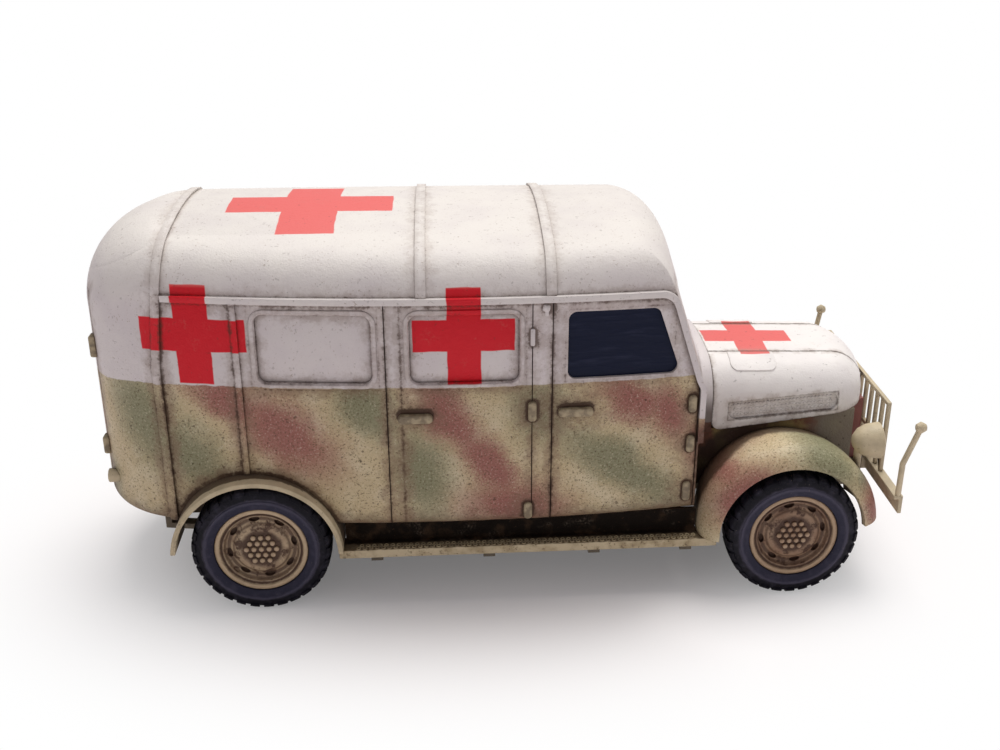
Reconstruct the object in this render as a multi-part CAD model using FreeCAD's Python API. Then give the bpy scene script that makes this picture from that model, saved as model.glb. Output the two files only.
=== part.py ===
"""Scale model of a military ambulance truck, built in millimetres.

Model axes: +X forward, +Y to the vehicle's left, +Z up, ground at Z = 0.
Everything is drawn with X = 0 at the rear axle and moved to the middle of
the model's length when it is written out.
"""
import FreeCAD, Part
import os
from math import asin, atan2, cos, pi, sin, sqrt

V = FreeCAD.Vector

MID_X, MID_W = 17.0, 12.4   # widest station of the body and its half width

# ---- running gear ----
WHEELBASE = 45.1
TYRE_R = 5.8
TYRE_W = 3.1
RIM_R = 3.85
FRONT_TYRE_FACE = MID_W + 1.2   # outer face of the front tyres, from the centre plane
REAR_TYRE_FACE = MID_W + 0.5
RIM_RECESS = 0.3            # rim edge lies this far inside the tyre's face
AXLE_R = 0.8
STUB_R = 0.6
TURN_GAP = 0.08             # running clearance of a wheel on its stub
VENT_COUNT = 8

# ---- body shell ----
WALL = 0.9
GAP = 0.08                  # engraved gap between panels
TAIL_BEAD_X, TAIL_BEAD_W = -6.9, 10.35
SCUTTLE_X, SCUTTLE_W = 37.4, 10.95
TAIL_CORNER_R = 8.5
TAIL_BOW_R = 18.0
SILL_Z = 7.4
BELT_Z = 19.6
RAIL_Z = 27.5
ROOF_Z = 32.04
CROWN_R = 40.0
ROOF_EDGE_R = 3.6
TAIL_EDGE_R = 6.8
INSIDE_CHAMFER = 2.9        # the moulding's inner corners are cut flat
SILL_EDGE_R = 1.0
SCREEN_X = 37.85            # foot of the windscreen on the centre plane
SCREEN_SLOPE = 0.33         # run back per unit of height
SCREEN_BOW_R = 56.0

# ---- doors and windows: X from, X to, Z from, Z to ----
SIDE_DOOR = dict(x0=10.9, x1=22.5, z0=7.7, z1=27.1)
CAB_DOOR = dict(x0=24.2, x1=36.5, z0=7.7, z1=27.1)
REAR_DOOR = dict(w=5.6, z0=8.5, z1=26.4)
WINDOW_Z0, WINDOW_Z1 = 20.5, 26.3
REAR_WINDOW = (0.8, 9.8)
DOOR_WINDOW = (12.8, 21.5)
CAB_WINDOW = (25.4, 34.8)
TAIL_WINDOW = (1.2, 4.9)
WINDOW_R = 0.7
PANE_T = 0.4
PANE_INSET = 0.3

# ---- bonnet ----
BONNET_REAR_X = 38.7
BONNET_NOSE_X = WHEELBASE + 8.5
BONNET_W = 6.9
BONNET_Z = 19.2
BONNET_CROWN_R = 33.0
BONNET_EDGE_R = 3.3
BONNET_CORNER_R = 3.5
BONNET_BOW_R = 13.0
BONNET_FOOT_Z = 12.9
BONNET_SEAM = 3.37
BONNET_T = 0.7

# ---- wings, boards and fittings ----
WING_LIP_R = 6.4
WING_CROWN_R = 7.95
WING_ROOT_R = 7.1           # where the wing meets the bonnet valance
WING_LIP_W = MID_W + 0.9
WING_RIDGE_W = MID_W - 1.2
WING_T = 0.55
GUARD_R = 6.68
GUARD_T = 0.4
GUARD_LIP_W = MID_W + 0.6
BOARD_Z = 5.4
BOARD_T = 0.8
BOARD_W = MID_W + 0.1
BUMPER_X = WHEELBASE + 8.9
BUMPER_W = MID_W + 0.8
BUMPER_Z0, BUMPER_Z1 = 7.6, 9.3
BRUSH_W = 8.7
BRUSH_Z = 16.0
BRUSH_BARS = 13
ROD_TIP = (BUMPER_X + 0.7, BUMPER_W + 0.8, 16.2)
ROD_BEND = (BUMPER_X - 0.15, BUMPER_W + 0.15, 12.5)
LAMP_X, LAMP_Y, LAMP_Z, LAMP_R = WHEELBASE + 6.9, WING_RIDGE_W - 1.4, 13.0, 1.6

RAIL_Y, RAIL_W = 3.8, 1.1   # inner face and width of a chassis rail
RAIL_X0, RAIL_X1 = -11.5, WHEELBASE + 8.1
FRAME_FOOT, FRAME_TOP = 6.0, SILL_Z
IRON_X0, IRON_TOP = WHEELBASE + 6.9, 8.6   # irons that carry the bumper and the radiator
CROSS_FOOT = 6.6
CROSS_X = (-10.5, -4.5, 6.0, 16.0, 26.0, 35.0, WHEELBASE - 2.6, WHEELBASE + 4.4, WHEELBASE + 7.3)
ARM_X = (9.5, 19.0, 28.0, 36.0)
ARM_T, CROSS_T, AXLE_PLAY = 0.5, 0.7, 0.3
SPRING_Y, SPRING_W, SPRING_T = 6.0, 1.0, 0.5
HANGER_Z = 6.4
REAR_SPRING_HALF, REAR_SPRING_RISE = 8.9, 0.5
FRONT_SPRING_HALF, FRONT_SPRING_RISE = 5.2, 1.2
SPRINGS = (dict(end="rear", x=0, half=REAR_SPRING_HALF, rise=REAR_SPRING_RISE),
           dict(end="front", x=WHEELBASE, half=FRONT_SPRING_HALF, rise=FRONT_SPRING_RISE))
AXLE_SHORT = 0.3
KNUCKLE_W, KNUCKLE_H = 0.8, 1.3     # half length and half height of a steering knuckle
HUB_FLOOR = 0.7
DIFF_R, DIFF_W = 1.5, 1.5
SHAFT_R, SHAFT_X1 = 0.4, 29.0
GEARBOX_L, GEARBOX_W, GEARBOX_DROP = 5.0, 1.4, 1.2
PIPE_R, PIPE_Y = 0.35, 2.4
PIPE_X0, PIPE_X1 = 3.0, 35.0
SILENCER = (10.0, 15.0, 0.9)
VENT_R = 2.62
HOUSING_Y = MID_W - 4.0
GUARD_X, GUARD_Z = -0.3, 5.2
GUARD_FOOT_Z = 5.8

BEAD_T, BEAD_W = 0.2, 0.7
BEAD_X, BEAD_KNEE_Z, BEAD_LEAN = -7.3, 21.5, 0.1    # the bead stands, then leans forward
BAND_W = 0.8
BAND_X = (13.8, 24.0)
CAB_BAND_X = BAND_X[1]
SEAM_X, SEAM_W = -0.8, 0.5
RAIL_H, RAIL_PROUD = 0.25, 0.4
RAIL_STEP, RAIL_STEP_Z, RAIL_FOOT_Z = 0.35, 18.9, 14.0
RAIL_BEND_R = 1.3
CAP_FRONT_Z, CAP_BACK_Z, CAP_BACK_X = 31.2, 27.7, -13.6
CAB_WINDOW_SLANT = 2.05
SCREEN_WINDOW = (0.5, 8.9)
WINDOW_REACH = 6.0

BONNET_DROP = 1.2           # degrees, nose down
BONNET_FOOT_RISE = 0.12
BONNET_HEEL_R = 0.8
SLOT = (BONNET_REAR_X + 1.5, BONNET_NOSE_X - 3.6, 14.25, 15.95)
SLOT_R, SLOT_DEPTH, SLOT_TILT = 0.8, 0.3, 4.6
GRILLE_X0, GRILLE_X1, GRILLE_W = WHEELBASE + 6.5, RAIL_X1, 4.6
GRILLE_TOP, GRILLE_RIM, GRILLE_DEPTH, GRILLE_SLOTS = 14.6, 0.4, 0.5, 9
VALANCE_X1, VALANCE_Y, VALANCE_T = WHEELBASE + 6.7, BONNET_W - 0.5, 0.6
ENGINE = (WHEELBASE - 4.6, WHEELBASE + 5.4, 3.0, 15.5)

WING_X = WHEELBASE - 0.1
WING_FROM, WING_TO = 6.0, 184.0
BOARD_IN, APRON_T = MID_W - 2.0, 0.4
BUMPER_T = 0.4
BRUSH_T, BRUSH_LOW_Z = 0.36, 11.6
ROD_R, ROD_BALL_R = 0.25, 0.5
LAMP_LEN, STALK_R = 2.6, 0.35
LAMP_PROFILE = ((-0.55, 0), (-0.5, 0.36), (-0.32, 0.7), (-0.05, 0.91), (0.36, 1.0), (0.42, 0.8), (0.45, 0))
BALL_PROFILE = ((-1.0, 0), (-0.8, 0.6), (0, 1.0), (0.8, 0.6), (1.0, 0))
TAIL_LAMP_Y, TAIL_LAMP_Z, TAIL_LAMP_R, TAIL_LAMP_T = 6.6, 10.1, 0.6, 0.6
HANDLES = ((11.8, 14.5, 17.65), (24.9, 27.5, 17.75))
HINGE_W, HINGE_T = 0.7, 0.3
TAIL_HINGE_W, TAIL_HINGE_T, TAIL_HINGE_IN = 1.1, 0.45, 0.7
HINGES = ((22.9, 17.4, 19.0), (22.9, 7.9, 9.2), (36.15, 16.3, 18.2), (36.15, 12.6, 14.4), (36.15, 8.0, 10.0))
TAIL_HINGES = ((20.7, 22.6), (11.8, 13.4))
X_FRONT = ROD_TIP[0] + ROD_BALL_R

SIDES = (("right", -1), ("left", 1))


# ---- drawing helpers ----
def line(a, b):
    return Part.LineSegment(V(*a), V(*b)).toShape()


def arc(a, b, c):
    return Part.Arc(V(*a), V(*b), V(*c)).toShape()


def face(edges):
    return Part.Face(Part.Wire(Part.sortEdges(edges)[0]))


def polygon(points):
    return Part.Face(Part.makePolygon([V(*p) for p in points + [points[0]]]))


def block(x0, x1, y0, y1, z0, z1):
    return Part.makeBox(x1 - x0, y1 - y0, z1 - z0, V(x0, y0, z0))


def rod(a, b, r):
    a, b = V(*a), V(*b)
    return Part.makeCylinder(r, (b - a).Length, a, b - a)


def mirrored(shape):
    return shape.mirror(V(0, 0, 0), V(0, 1, 0))


def on_side(shape, side):
    """Shapes are drawn on the left; the right one is the mirror image."""
    return shape if side > 0 else mirrored(shape)


def side_profile(points, y0, y1):
    """Polygon in the XZ plane, pulled from y0 to y1."""
    flat = polygon([(x, y0, z) for x, z in points])
    return flat.extrude(V(0, y1 - y0, 0))


def edges_at(shape, x, z):
    """Edges across the shape at a station and height."""
    return [e for e in shape.Edges
            if abs(e.CenterOfMass.x - x) < GAP and abs(e.CenterOfMass.z - z) < GAP]


def rounded_window(x0, x1, z0, z1, y0, y1, r, slant=0.0):
    """Rounded rectangle in XZ with its front edge leaning back by slant."""
    shape = side_profile([(x0, z0), (x1, z0), (x1 - slant, z1), (x0, z1)], y0, y1)
    edges = [e for e in shape.Edges if abs(e.tangentAt(e.FirstParameter).y) > 0.9]
    return shape.makeFillet(r, edges)


def fillet_each(shape, radii):
    """Fillet with its own start and end radius on each chosen edge."""
    doc = FreeCAD.newDocument()
    base = doc.addObject("Part::Feature", "base")
    base.Shape = shape
    made = doc.addObject("Part::Fillet", "made")
    made.Base = base
    made.Edges = radii
    doc.recompute()
    result = made.Shape.copy()
    FreeCAD.closeDocument(doc.Name)
    return result.Solids[0]


def edge_radii(shape, rule):
    """List (edge number, start radius, end radius) for a radius rule."""
    radii = []
    for number, edge in enumerate(shape.Edges, 1):
        ends = [rule(edge, v.Point) for v in (edge.Vertexes[0], edge.Vertexes[-1])]
        if None not in ends:
            radii.append((number, ends[0], ends[1]))
    return radii


# ---- body envelope ----
SIDE_REAR_R = ((MID_X - TAIL_BEAD_X) ** 2 + (MID_W - TAIL_BEAD_W) ** 2) / (2 * (MID_W - TAIL_BEAD_W))
SIDE_FRONT_R = ((SCUTTLE_X - MID_X) ** 2 + (MID_W - SCUTTLE_W) ** 2) / (2 * (MID_W - SCUTTLE_W))
BEAD_ANGLE = asin((MID_X - TAIL_BEAD_X) / SIDE_REAR_R)
CORNER_X = TAIL_BEAD_X + TAIL_CORNER_R * sin(BEAD_ANGLE)
CORNER_Y = TAIL_BEAD_W - TAIL_CORNER_R * cos(BEAD_ANGLE)
BOW_X = CORNER_X + sqrt((TAIL_BOW_R - TAIL_CORNER_R) ** 2 - CORNER_Y ** 2)
TAIL_X = BOW_X - TAIL_BOW_R
BOW_ANGLE = atan2(CORNER_Y, BOW_X - CORNER_X)


def tail_point(cx, cy, r, angle, z):
    """Point at an angle from +Y towards -X."""
    return (cx - r * sin(angle), cy + r * cos(angle), z)


def half_width(x):
    """Half width of the body at a station between the tail bead and the scuttle."""
    r = SIDE_REAR_R if x < MID_X else SIDE_FRONT_R
    return MID_W - r + sqrt(r ** 2 - (x - MID_X) ** 2)


def tail_x(y):
    """Station of the rounded tail corner at a distance from the centre plane."""
    return CORNER_X - sqrt(TAIL_CORNER_R ** 2 - (y - CORNER_Y) ** 2)


def plan(inset, z):
    """Plan outline of the body, offset inwards, open to the front."""
    end_x = SCUTTLE_X + 6
    r1, r2 = SIDE_REAR_R - inset, SIDE_FRONT_R - inset
    rc, rb = TAIL_CORNER_R - inset, TAIL_BOW_R - inset

    def front(x):
        return (x, MID_W - SIDE_FRONT_R + sqrt(r2 ** 2 - (x - MID_X) ** 2), z)

    cy = MID_W - SIDE_REAR_R
    widest = (MID_X, MID_W - inset, z)
    bead = tail_point(MID_X, cy, r1, BEAD_ANGLE, z)
    tail = tail_point(CORNER_X, CORNER_Y, rc, pi / 2 - BOW_ANGLE, z)
    half = [arc(front(end_x), front((end_x + MID_X) / 2), widest),
            arc(widest, tail_point(MID_X, cy, r1, BEAD_ANGLE / 2, z), bead),
            arc(bead, tail_point(CORNER_X, CORNER_Y, rc, (BEAD_ANGLE + pi / 2 - BOW_ANGLE) / 2, z), tail)]
    other = [mirrored(e) for e in half]
    tail_other = (tail[0], -tail[1], z)
    back = arc(tail, (TAIL_X + inset, 0, z), tail_other)
    nose = line(front(end_x), (front(end_x)[0], -front(end_x)[1], z))
    return face(half + [back] + other + [nose])


def crown_prism(top, r, x0, x1, reach):
    """Everything below a crowned roof, as a bar along X."""
    edge_z = top - r + sqrt(r ** 2 - reach ** 2)
    section = face([arc((x0, -reach, edge_z), (x0, 0, top), (x0, reach, edge_z)),
                    line((x0, reach, edge_z), (x0, reach, 0)),
                    line((x0, reach, 0), (x0, -reach, 0)),
                    line((x0, -reach, 0), (x0, -reach, edge_z))])
    return section.extrude(V(x1 - x0, 0, 0))


def screen_prism(inset):
    """Everything behind the bowed scuttle and the leaning windscreen."""
    reach = MID_W + 4
    r = SCREEN_BOW_R - inset
    cx = SCREEN_X - SCREEN_BOW_R
    edge_x = cx + sqrt(r ** 2 - reach ** 2)
    back = TAIL_X - 30
    flat = face([arc((edge_x, reach, BELT_Z), (cx + r, 0, BELT_Z), (edge_x, -reach, BELT_Z)),
                 line((edge_x, -reach, BELT_Z), (back, -reach, BELT_Z)),
                 line((back, -reach, BELT_Z), (back, reach, BELT_Z)),
                 line((back, reach, BELT_Z), (edge_x, reach, BELT_Z))])
    rise = ROOF_Z - BELT_Z + 4
    upper = flat.extrude(V(-SCREEN_SLOPE * rise, 0, rise))
    return upper.fuse(flat.extrude(V(0, 0, -BELT_Z)))


def envelope(inset):
    """Body form, or the same form set inwards by the wall thickness."""
    floor_z = SILL_Z + inset
    shape = plan(inset, floor_z).extrude(V(0, 0, ROOF_Z - floor_z + 3))
    shape = shape.common(crown_prism(ROOF_Z - inset, CROWN_R - inset, TAIL_X - 5, SCUTTLE_X + 9, MID_W + 3))
    shape = shape.common(screen_prism(inset)).Solids[0]

    if inset == WALL:
        return shape.makeChamfer(INSIDE_CHAMFER, [e for e in shape.Edges if e.CenterOfMass.z > RAIL_Z])

    def rule(edge, point):
        centre = edge.CenterOfMass
        if centre.z > RAIL_Z:
            return (TAIL_EDGE_R if point.x < TAIL_BEAD_X - 1 else ROOF_EDGE_R) - inset
        if centre.z < SILL_Z + inset + 0.01 and centre.x < SCUTTLE_X:
            return SILL_EDGE_R - inset
        return None

    return fillet_each(shape, edge_radii(shape, rule))


OUTER = envelope(0)
INNER = envelope(WALL)
FLOOR_SPACE = plan(WALL, SILL_Z).extrude(V(0, 0, WALL)).common(screen_prism(WALL))
SHELL = OUTER.cut(INNER).cut(FLOOR_SPACE)
RAISED = envelope(-BEAD_T).cut(OUTER)
PANE_LAYER = envelope(PANE_INSET).cut(envelope(PANE_INSET + PANE_T))
FAR = 60.0
PARTS = {}


# ---- regions that split the shell into panels ----
def screen_line(z, x_foot):
    """Station of a line that stands up to the belt and then leans with the windscreen."""
    return x_foot - SCREEN_SLOPE * max(0.0, z - BELT_Z)


def door_region(door, grow, slant):
    """Door outline on the left side; the cab door's front edge leans with the screen."""
    x0, x1, z0, z1 = door["x0"] - grow, door["x1"] + grow, door["z0"] - grow, door["z1"] + grow
    if slant:
        points = [(x0, z0), (x1, z0), (x1, BELT_Z), (screen_line(z1, x1), z1), (x0, z1)]
    else:
        points = [(x0, z0), (x1, z0), (x1, z1), (x0, z1)]
    return side_profile(points, WINDOW_REACH, FAR)


def side_window(span, slant=0.0):
    return rounded_window(span[0], span[1], WINDOW_Z0, WINDOW_Z1, WINDOW_REACH, FAR, WINDOW_R, slant)


def tail_window():
    y0, y1 = TAIL_WINDOW
    shape = block(TAIL_X - 5, TAIL_X + 4, y0, y1, WINDOW_Z0, WINDOW_Z1 - 0.8)
    return shape.makeFillet(WINDOW_R, [e for e in shape.Edges if abs(e.tangentAt(e.FirstParameter).x) > 0.9])


def screen_window():
    y0, y1 = SCREEN_WINDOW
    shape = block(SCREEN_X - 6, SCREEN_X + 3, y0, y1, WINDOW_Z0 + 0.2, RAIL_Z - 0.5)
    return shape.makeFillet(WINDOW_R, [e for e in shape.Edges if abs(e.tangentAt(e.FirstParameter).x) > 0.9])


def arch(r, y0, y1):
    """Round bar across a rear wheel arch."""
    return rod((GUARD_X, y0, GUARD_Z), (GUARD_X, y1, GUARD_Z), r)


def bead_line(z, offset):
    """Station of a line along the tail bead."""
    return BEAD_X + offset + BEAD_LEAN * max(0.0, z - BEAD_KNEE_Z)


def behind_bead(offset):
    """Everything behind a line along the tail bead."""
    back, top = TAIL_X - 4, ROOF_Z + 4
    return side_profile([(back, 0), (bead_line(0, offset), 0), (bead_line(0, offset), BEAD_KNEE_Z),
                         (bead_line(top, offset), top), (back, top)], -FAR, FAR)


TAIL_END = behind_bead(-BEAD_W / 2)
CAP_SLOPE = (CAP_FRONT_Z - CAP_BACK_Z) / (TAIL_BEAD_X - CAP_BACK_X)


def above_cap_line():
    """Region above the sloping seam of the tail's roof cap."""
    back = TAIL_X - 4
    back_z = CAP_FRONT_Z - CAP_SLOPE * (TAIL_BEAD_X - back)
    front = BEAD_X + BEAD_LEAN * (ROOF_Z - BEAD_KNEE_Z)
    front_z = CAP_FRONT_Z + CAP_SLOPE * (front - TAIL_BEAD_X)
    return side_profile([(front, front_z), (front, FAR), (back, FAR), (back, back_z)], -FAR, FAR)


# ---- body panels ----
def roof_panels():
    top = SHELL.common(block(TAIL_X, FAR, -FAR, FAR, RAIL_Z, FAR)).cut(TAIL_END)
    PARTS["roof_rear"] = top.common(block(TAIL_X, CAB_BAND_X, -FAR, FAR, 0, FAR))
    PARTS["roof_cab"] = top.common(block(CAB_BAND_X, FAR, -FAR, FAR, 0, FAR))
    tail = SHELL.common(TAIL_END)
    PARTS["tail_roof_cap"] = tail.common(above_cap_line())
    return tail.cut(above_cap_line())


def tail_panels(tail):
    door_w, z0, z1 = REAR_DOOR["w"], REAR_DOOR["z0"], REAR_DOOR["z1"]
    opening = block(TAIL_X - 1, TAIL_BEAD_X - 2.5, -door_w - GAP, door_w + GAP, z0 - GAP, z1 + GAP)
    PARTS["tail_body"] = tail.cut(opening)
    leaf = block(TAIL_X - 1, TAIL_BEAD_X - 2.5, GAP / 2, door_w, z0, z1)
    for name, side in SIDES:
        PARTS["rear_door_" + name] = tail.common(on_side(leaf.cut(tail_window()), side))
    pane = PANE_LAYER.common(tail_window())
    PARTS["rear_door_panes"] = Part.makeCompound([pane, mirrored(pane)])


def side_panels():
    foot = CAB_DOOR["x1"] + GAP
    strip = side_profile([(TAIL_X, SILL_Z), (foot, SILL_Z), (foot, BELT_Z),
                          (screen_line(RAIL_Z, foot), RAIL_Z), (TAIL_X, RAIL_Z)], 2, FAR)
    wall = SHELL.common(strip).cut(TAIL_END)
    fixed = wall.cut(door_region(SIDE_DOOR, GAP, False)).cut(door_region(CAB_DOOR, GAP, True))
    fixed = fixed.cut(side_window(REAR_WINDOW)).cut(arch(GUARD_R + GUARD_T, 2, FAR))
    side_leaf = wall.common(door_region(SIDE_DOOR, 0, False)).cut(side_window(DOOR_WINDOW))
    cab_leaf = wall.common(door_region(CAB_DOOR, 0, True)).cut(side_window(CAB_WINDOW, CAB_WINDOW_SLANT))
    for name, side in SIDES:
        PARTS["body_side_" + name] = on_side(fixed, side)
        PARTS["side_door_" + name] = on_side(side_leaf, side)
        PARTS["cab_door_" + name] = on_side(cab_leaf, side)
    blank = [PANE_LAYER.common(side_window(span)) for span in (REAR_WINDOW, DOOR_WINDOW)]
    PARTS["side_window_panels"] = Part.makeCompound(blank + [mirrored(p) for p in blank])
    cab = PANE_LAYER.common(side_window(CAB_WINDOW, CAB_WINDOW_SLANT))
    PARTS["cab_door_panes"] = Part.makeCompound([cab, mirrored(cab)])


def front_of_cab():
    foot = CAB_DOOR["x1"] + GAP
    lower = SHELL.common(block(foot, FAR, -FAR, FAR, SILL_Z, BELT_Z))
    PARTS["scuttle"] = lower
    ahead = side_profile([(foot, BELT_Z), (foot + 9, BELT_Z), (foot + 9, RAIL_Z),
                          (screen_line(RAIL_Z, foot), RAIL_Z)], -FAR, FAR)
    window = screen_window()
    frame = SHELL.common(ahead)
    PARTS["windscreen_frame"] = frame.cut(window).cut(mirrored(window))
    pane = PANE_LAYER.common(window).cut(door_region(CAB_DOOR, GAP, True))
    PARTS["windscreen_panes"] = Part.makeCompound([pane, mirrored(pane)])


def body_beads():
    bands = [RAISED.common(block(x - BAND_W / 2, x + BAND_W / 2, -FAR, FAR, RAIL_Z + RAIL_H, FAR))
             for x in BAND_X]
    housing = arch(GUARD_R + GUARD_T + GAP, 2, FAR)
    tail_bead = RAISED.common(behind_bead(BEAD_W / 2)).cut(TAIL_END)
    tail_bead = tail_bead.cut(block(-FAR, FAR, -FAR, FAR, 0, SILL_Z))
    bands.append(tail_bead.cut(housing).cut(mirrored(housing)))
    seam = RAISED.common(block(SEAM_X - SEAM_W / 2, SEAM_X + SEAM_W / 2, 2, FAR,
                               GUARD_Z + GUARD_R + GUARD_T + GAP, RAIL_Z - RAIL_H))
    PARTS["body_beads"] = Part.makeCompound(bands + [seam, mirrored(seam)])


def drip_rail_path():
    """Rail outline: level along the roof, down beside the windscreen and onto the scuttle."""
    foot, top, low = CAB_DOOR["x1"], RAIL_Z + RAIL_H, RAIL_Z - RAIL_H
    start = bead_line(RAIL_Z, BEAD_W / 2 + GAP)
    inner = [(start, low), (screen_line(low, foot) - RAIL_H, low), (foot - RAIL_H, BELT_Z),
             (foot - RAIL_H + RAIL_STEP, RAIL_STEP_Z), (foot - RAIL_H + RAIL_STEP, RAIL_FOOT_Z)]
    outer = [(foot + RAIL_H + RAIL_STEP, RAIL_FOOT_Z), (foot + RAIL_H + RAIL_STEP, RAIL_STEP_Z),
             (foot + RAIL_H, BELT_Z), (screen_line(top, foot) + RAIL_H, top), (start, top)]
    path = side_profile(inner + outer, half_width(foot) - RAIL_H, FAR)
    path = path.makeFillet(RAIL_BEND_R, edges_at(path, *inner[1]))
    return path.makeFillet(RAIL_BEND_R + RAIL_H, edges_at(path, *outer[3]))


def drip_rails():
    rail = envelope(-RAIL_PROUD).cut(OUTER).common(drip_rail_path())
    PARTS["drip_rails"] = Part.makeCompound([rail, mirrored(rail)])


def floor_and_housings():
    plate = OUTER.common(FLOOR_SPACE)
    housing = arch(GUARD_R + GUARD_T, HOUSING_Y, FAR)
    PARTS["floor"] = plate.cut(housing).cut(mirrored(housing))
    ring = arch(GUARD_R + GUARD_T, HOUSING_Y, GUARD_LIP_W).cut(arch(GUARD_R, HOUSING_Y + GUARD_T, FAR))
    foot = block(-FAR, FAR, 0, FAR, -FAR, GUARD_FOOT_Z).cut(block(GUARD_X, FAR, 0, FAR, BOARD_Z, FAR))
    below = block(-FAR, FAR, 0, HOUSING_Y + GUARD_T, -FAR, SILL_Z)
    guard = ring.cut(foot).cut(below).cut(block(GUARD_X, FAR, 0, FAR, -FAR, BOARD_Z))
    for name, side in SIDES:
        PARTS["rear_mudguard_" + name] = on_side(guard, side)


# ---- bonnet and nose ----
def bonnet_plan(inset, z):
    w = BONNET_W - inset
    rc, rb = BONNET_CORNER_R - inset, BONNET_BOW_R - inset
    bow_x = BONNET_NOSE_X - BONNET_BOW_R
    cx = bow_x + sqrt((BONNET_BOW_R - BONNET_CORNER_R) ** 2 - (BONNET_W - BONNET_CORNER_R) ** 2)
    cy = BONNET_W - BONNET_CORNER_R
    reach = atan2(cy, cx - bow_x)
    rear = SCREEN_X - 3
    tip = (bow_x + rb * cos(reach), rb * sin(reach), z)
    mid = (pi / 2 + reach) / 2
    half = [line((rear, w, z), (cx, w, z)),
            arc((cx, w, z), (cx + rc * cos(mid), cy + rc * sin(mid), z), tip)]
    bow = arc(tip, (bow_x + rb, 0, z), (tip[0], -tip[1], z))
    return face(half + [mirrored(e) for e in half] + [bow, line((rear, -w, z), (rear, w, z))])


def bonnet_form(inset):
    foot = BONNET_FOOT_Z - 4
    shape = bonnet_plan(inset, foot).extrude(V(0, 0, BONNET_Z - foot + 3))
    crown = crown_prism(BONNET_Z - inset, BONNET_CROWN_R - inset, SCREEN_X - 8, BONNET_NOSE_X + 4,
                        BONNET_W + 1)
    crown.rotate(V(BONNET_REAR_X, 0, BONNET_Z), V(0, 1, 0), BONNET_DROP)
    shape = shape.common(crown).Solids[0]

    def rule(edge, point):
        centre = edge.CenterOfMass
        if centre.z < BONNET_FOOT_Z or centre.x < BONNET_REAR_X - 3:
            return None
        if abs(edge.tangentAt(edge.FirstParameter).z) > 0.95:
            return None
        return BONNET_EDGE_R - inset

    return fillet_each(shape, edge_radii(shape, rule))


def foot_line(x):
    """Height of the bonnet's lower edge at a station."""
    return BONNET_FOOT_Z + BONNET_FOOT_RISE * (x - BONNET_REAR_X)


def below_bonnet():
    """Region under the bonnet's rising foot line."""
    return side_profile([(0, 0), (FAR, 0), (FAR, foot_line(FAR)), (BONNET_REAR_X, BONNET_FOOT_Z),
                         (0, BONNET_FOOT_Z)], -FAR, FAR)


def lid_region(y0, y1):
    """Bonnet lid seen from the side, with a rounded lower rear corner."""
    rear = BONNET_REAR_X + GAP
    foot, front_z = foot_line(rear), foot_line(FAR)
    region = side_profile([(rear, foot), (FAR, front_z), (FAR, FAR), (rear, FAR)], y0, y1)
    return region.makeFillet(BONNET_HEEL_R, edges_at(region, rear, foot))


def bonnet():
    full, inner = bonnet_form(0), bonnet_form(BONNET_T)
    hull = full.cut(inner)
    PARTS["bonnet_centre"] = hull.common(lid_region(-BONNET_SEAM + GAP / 2, BONNET_SEAM - GAP / 2))
    half = hull.common(lid_region(BONNET_SEAM + GAP / 2, FAR))
    slot = rounded_window(SLOT[0], SLOT[1], SLOT[2], SLOT[3], BONNET_W - SLOT_DEPTH, FAR, SLOT_R)
    slot.rotate(V((SLOT[0] + SLOT[1]) / 2, 0, (SLOT[2] + SLOT[3]) / 2), V(0, 1, 0), -SLOT_TILT)
    for name, side in SIDES:
        PARTS["bonnet_side_" + name] = on_side(half.cut(slot), side)
    band_form = bonnet_form(-BEAD_T).cut(inner).cut(below_bonnet())
    band = band_form.common(block(SCREEN_X - 1.5, BONNET_REAR_X, -FAR, FAR, 0, FAR)).cut(OUTER)
    PARTS["scuttle_band"] = band


def nose():
    shell = block(GRILLE_X0, GRILLE_X1, -GRILLE_W, GRILLE_W, IRON_TOP, BONNET_FOOT_Z + 2)
    shell = shell.common(below_bonnet())
    pitch = 2 * (GRILLE_W - GRILLE_RIM) / GRILLE_SLOTS
    for i in range(GRILLE_SLOTS):
        y = -GRILLE_W + GRILLE_RIM + pitch * (i + 0.5)
        shell = shell.cut(block(GRILLE_X1 - GRILLE_DEPTH, FAR, y - pitch * 0.3, y + pitch * 0.3,
                                IRON_TOP + GRILLE_RIM, GRILLE_TOP - GRILLE_RIM))
    PARTS["radiator_grille"] = shell
    side_plate = block(SCREEN_X - 2, VALANCE_X1, VALANCE_Y - VALANCE_T, VALANCE_Y, FRAME_TOP, FAR)
    side_plate = side_plate.common(below_bonnet()).cut(OUTER)
    for name, side in SIDES:
        PARTS["bonnet_valance_" + name] = on_side(side_plate, side)
    PARTS["engine_block"] = block(ENGINE[0], ENGINE[1], -ENGINE[2], ENGINE[2], FRAME_TOP, ENGINE[3])


# ---- wings, boards and mudguards ----
def rolled(ridge, end, offset):
    """Arc that leaves the ridge level and rolls down to the end, set in by an offset.

    Points are (radius, width). Returns start, middle and end of the arc.
    """
    drop, run = ridge[0] - end[0], end[1] - ridge[1]
    r = (run ** 2 + drop ** 2) / (2 * drop)
    turn = asin(run / r)
    return [(ridge[0] - r + (r - offset) * cos(a), ridge[1] + (r - offset) * sin(a), 0)
            for a in (0, turn / 2, turn)]


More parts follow.
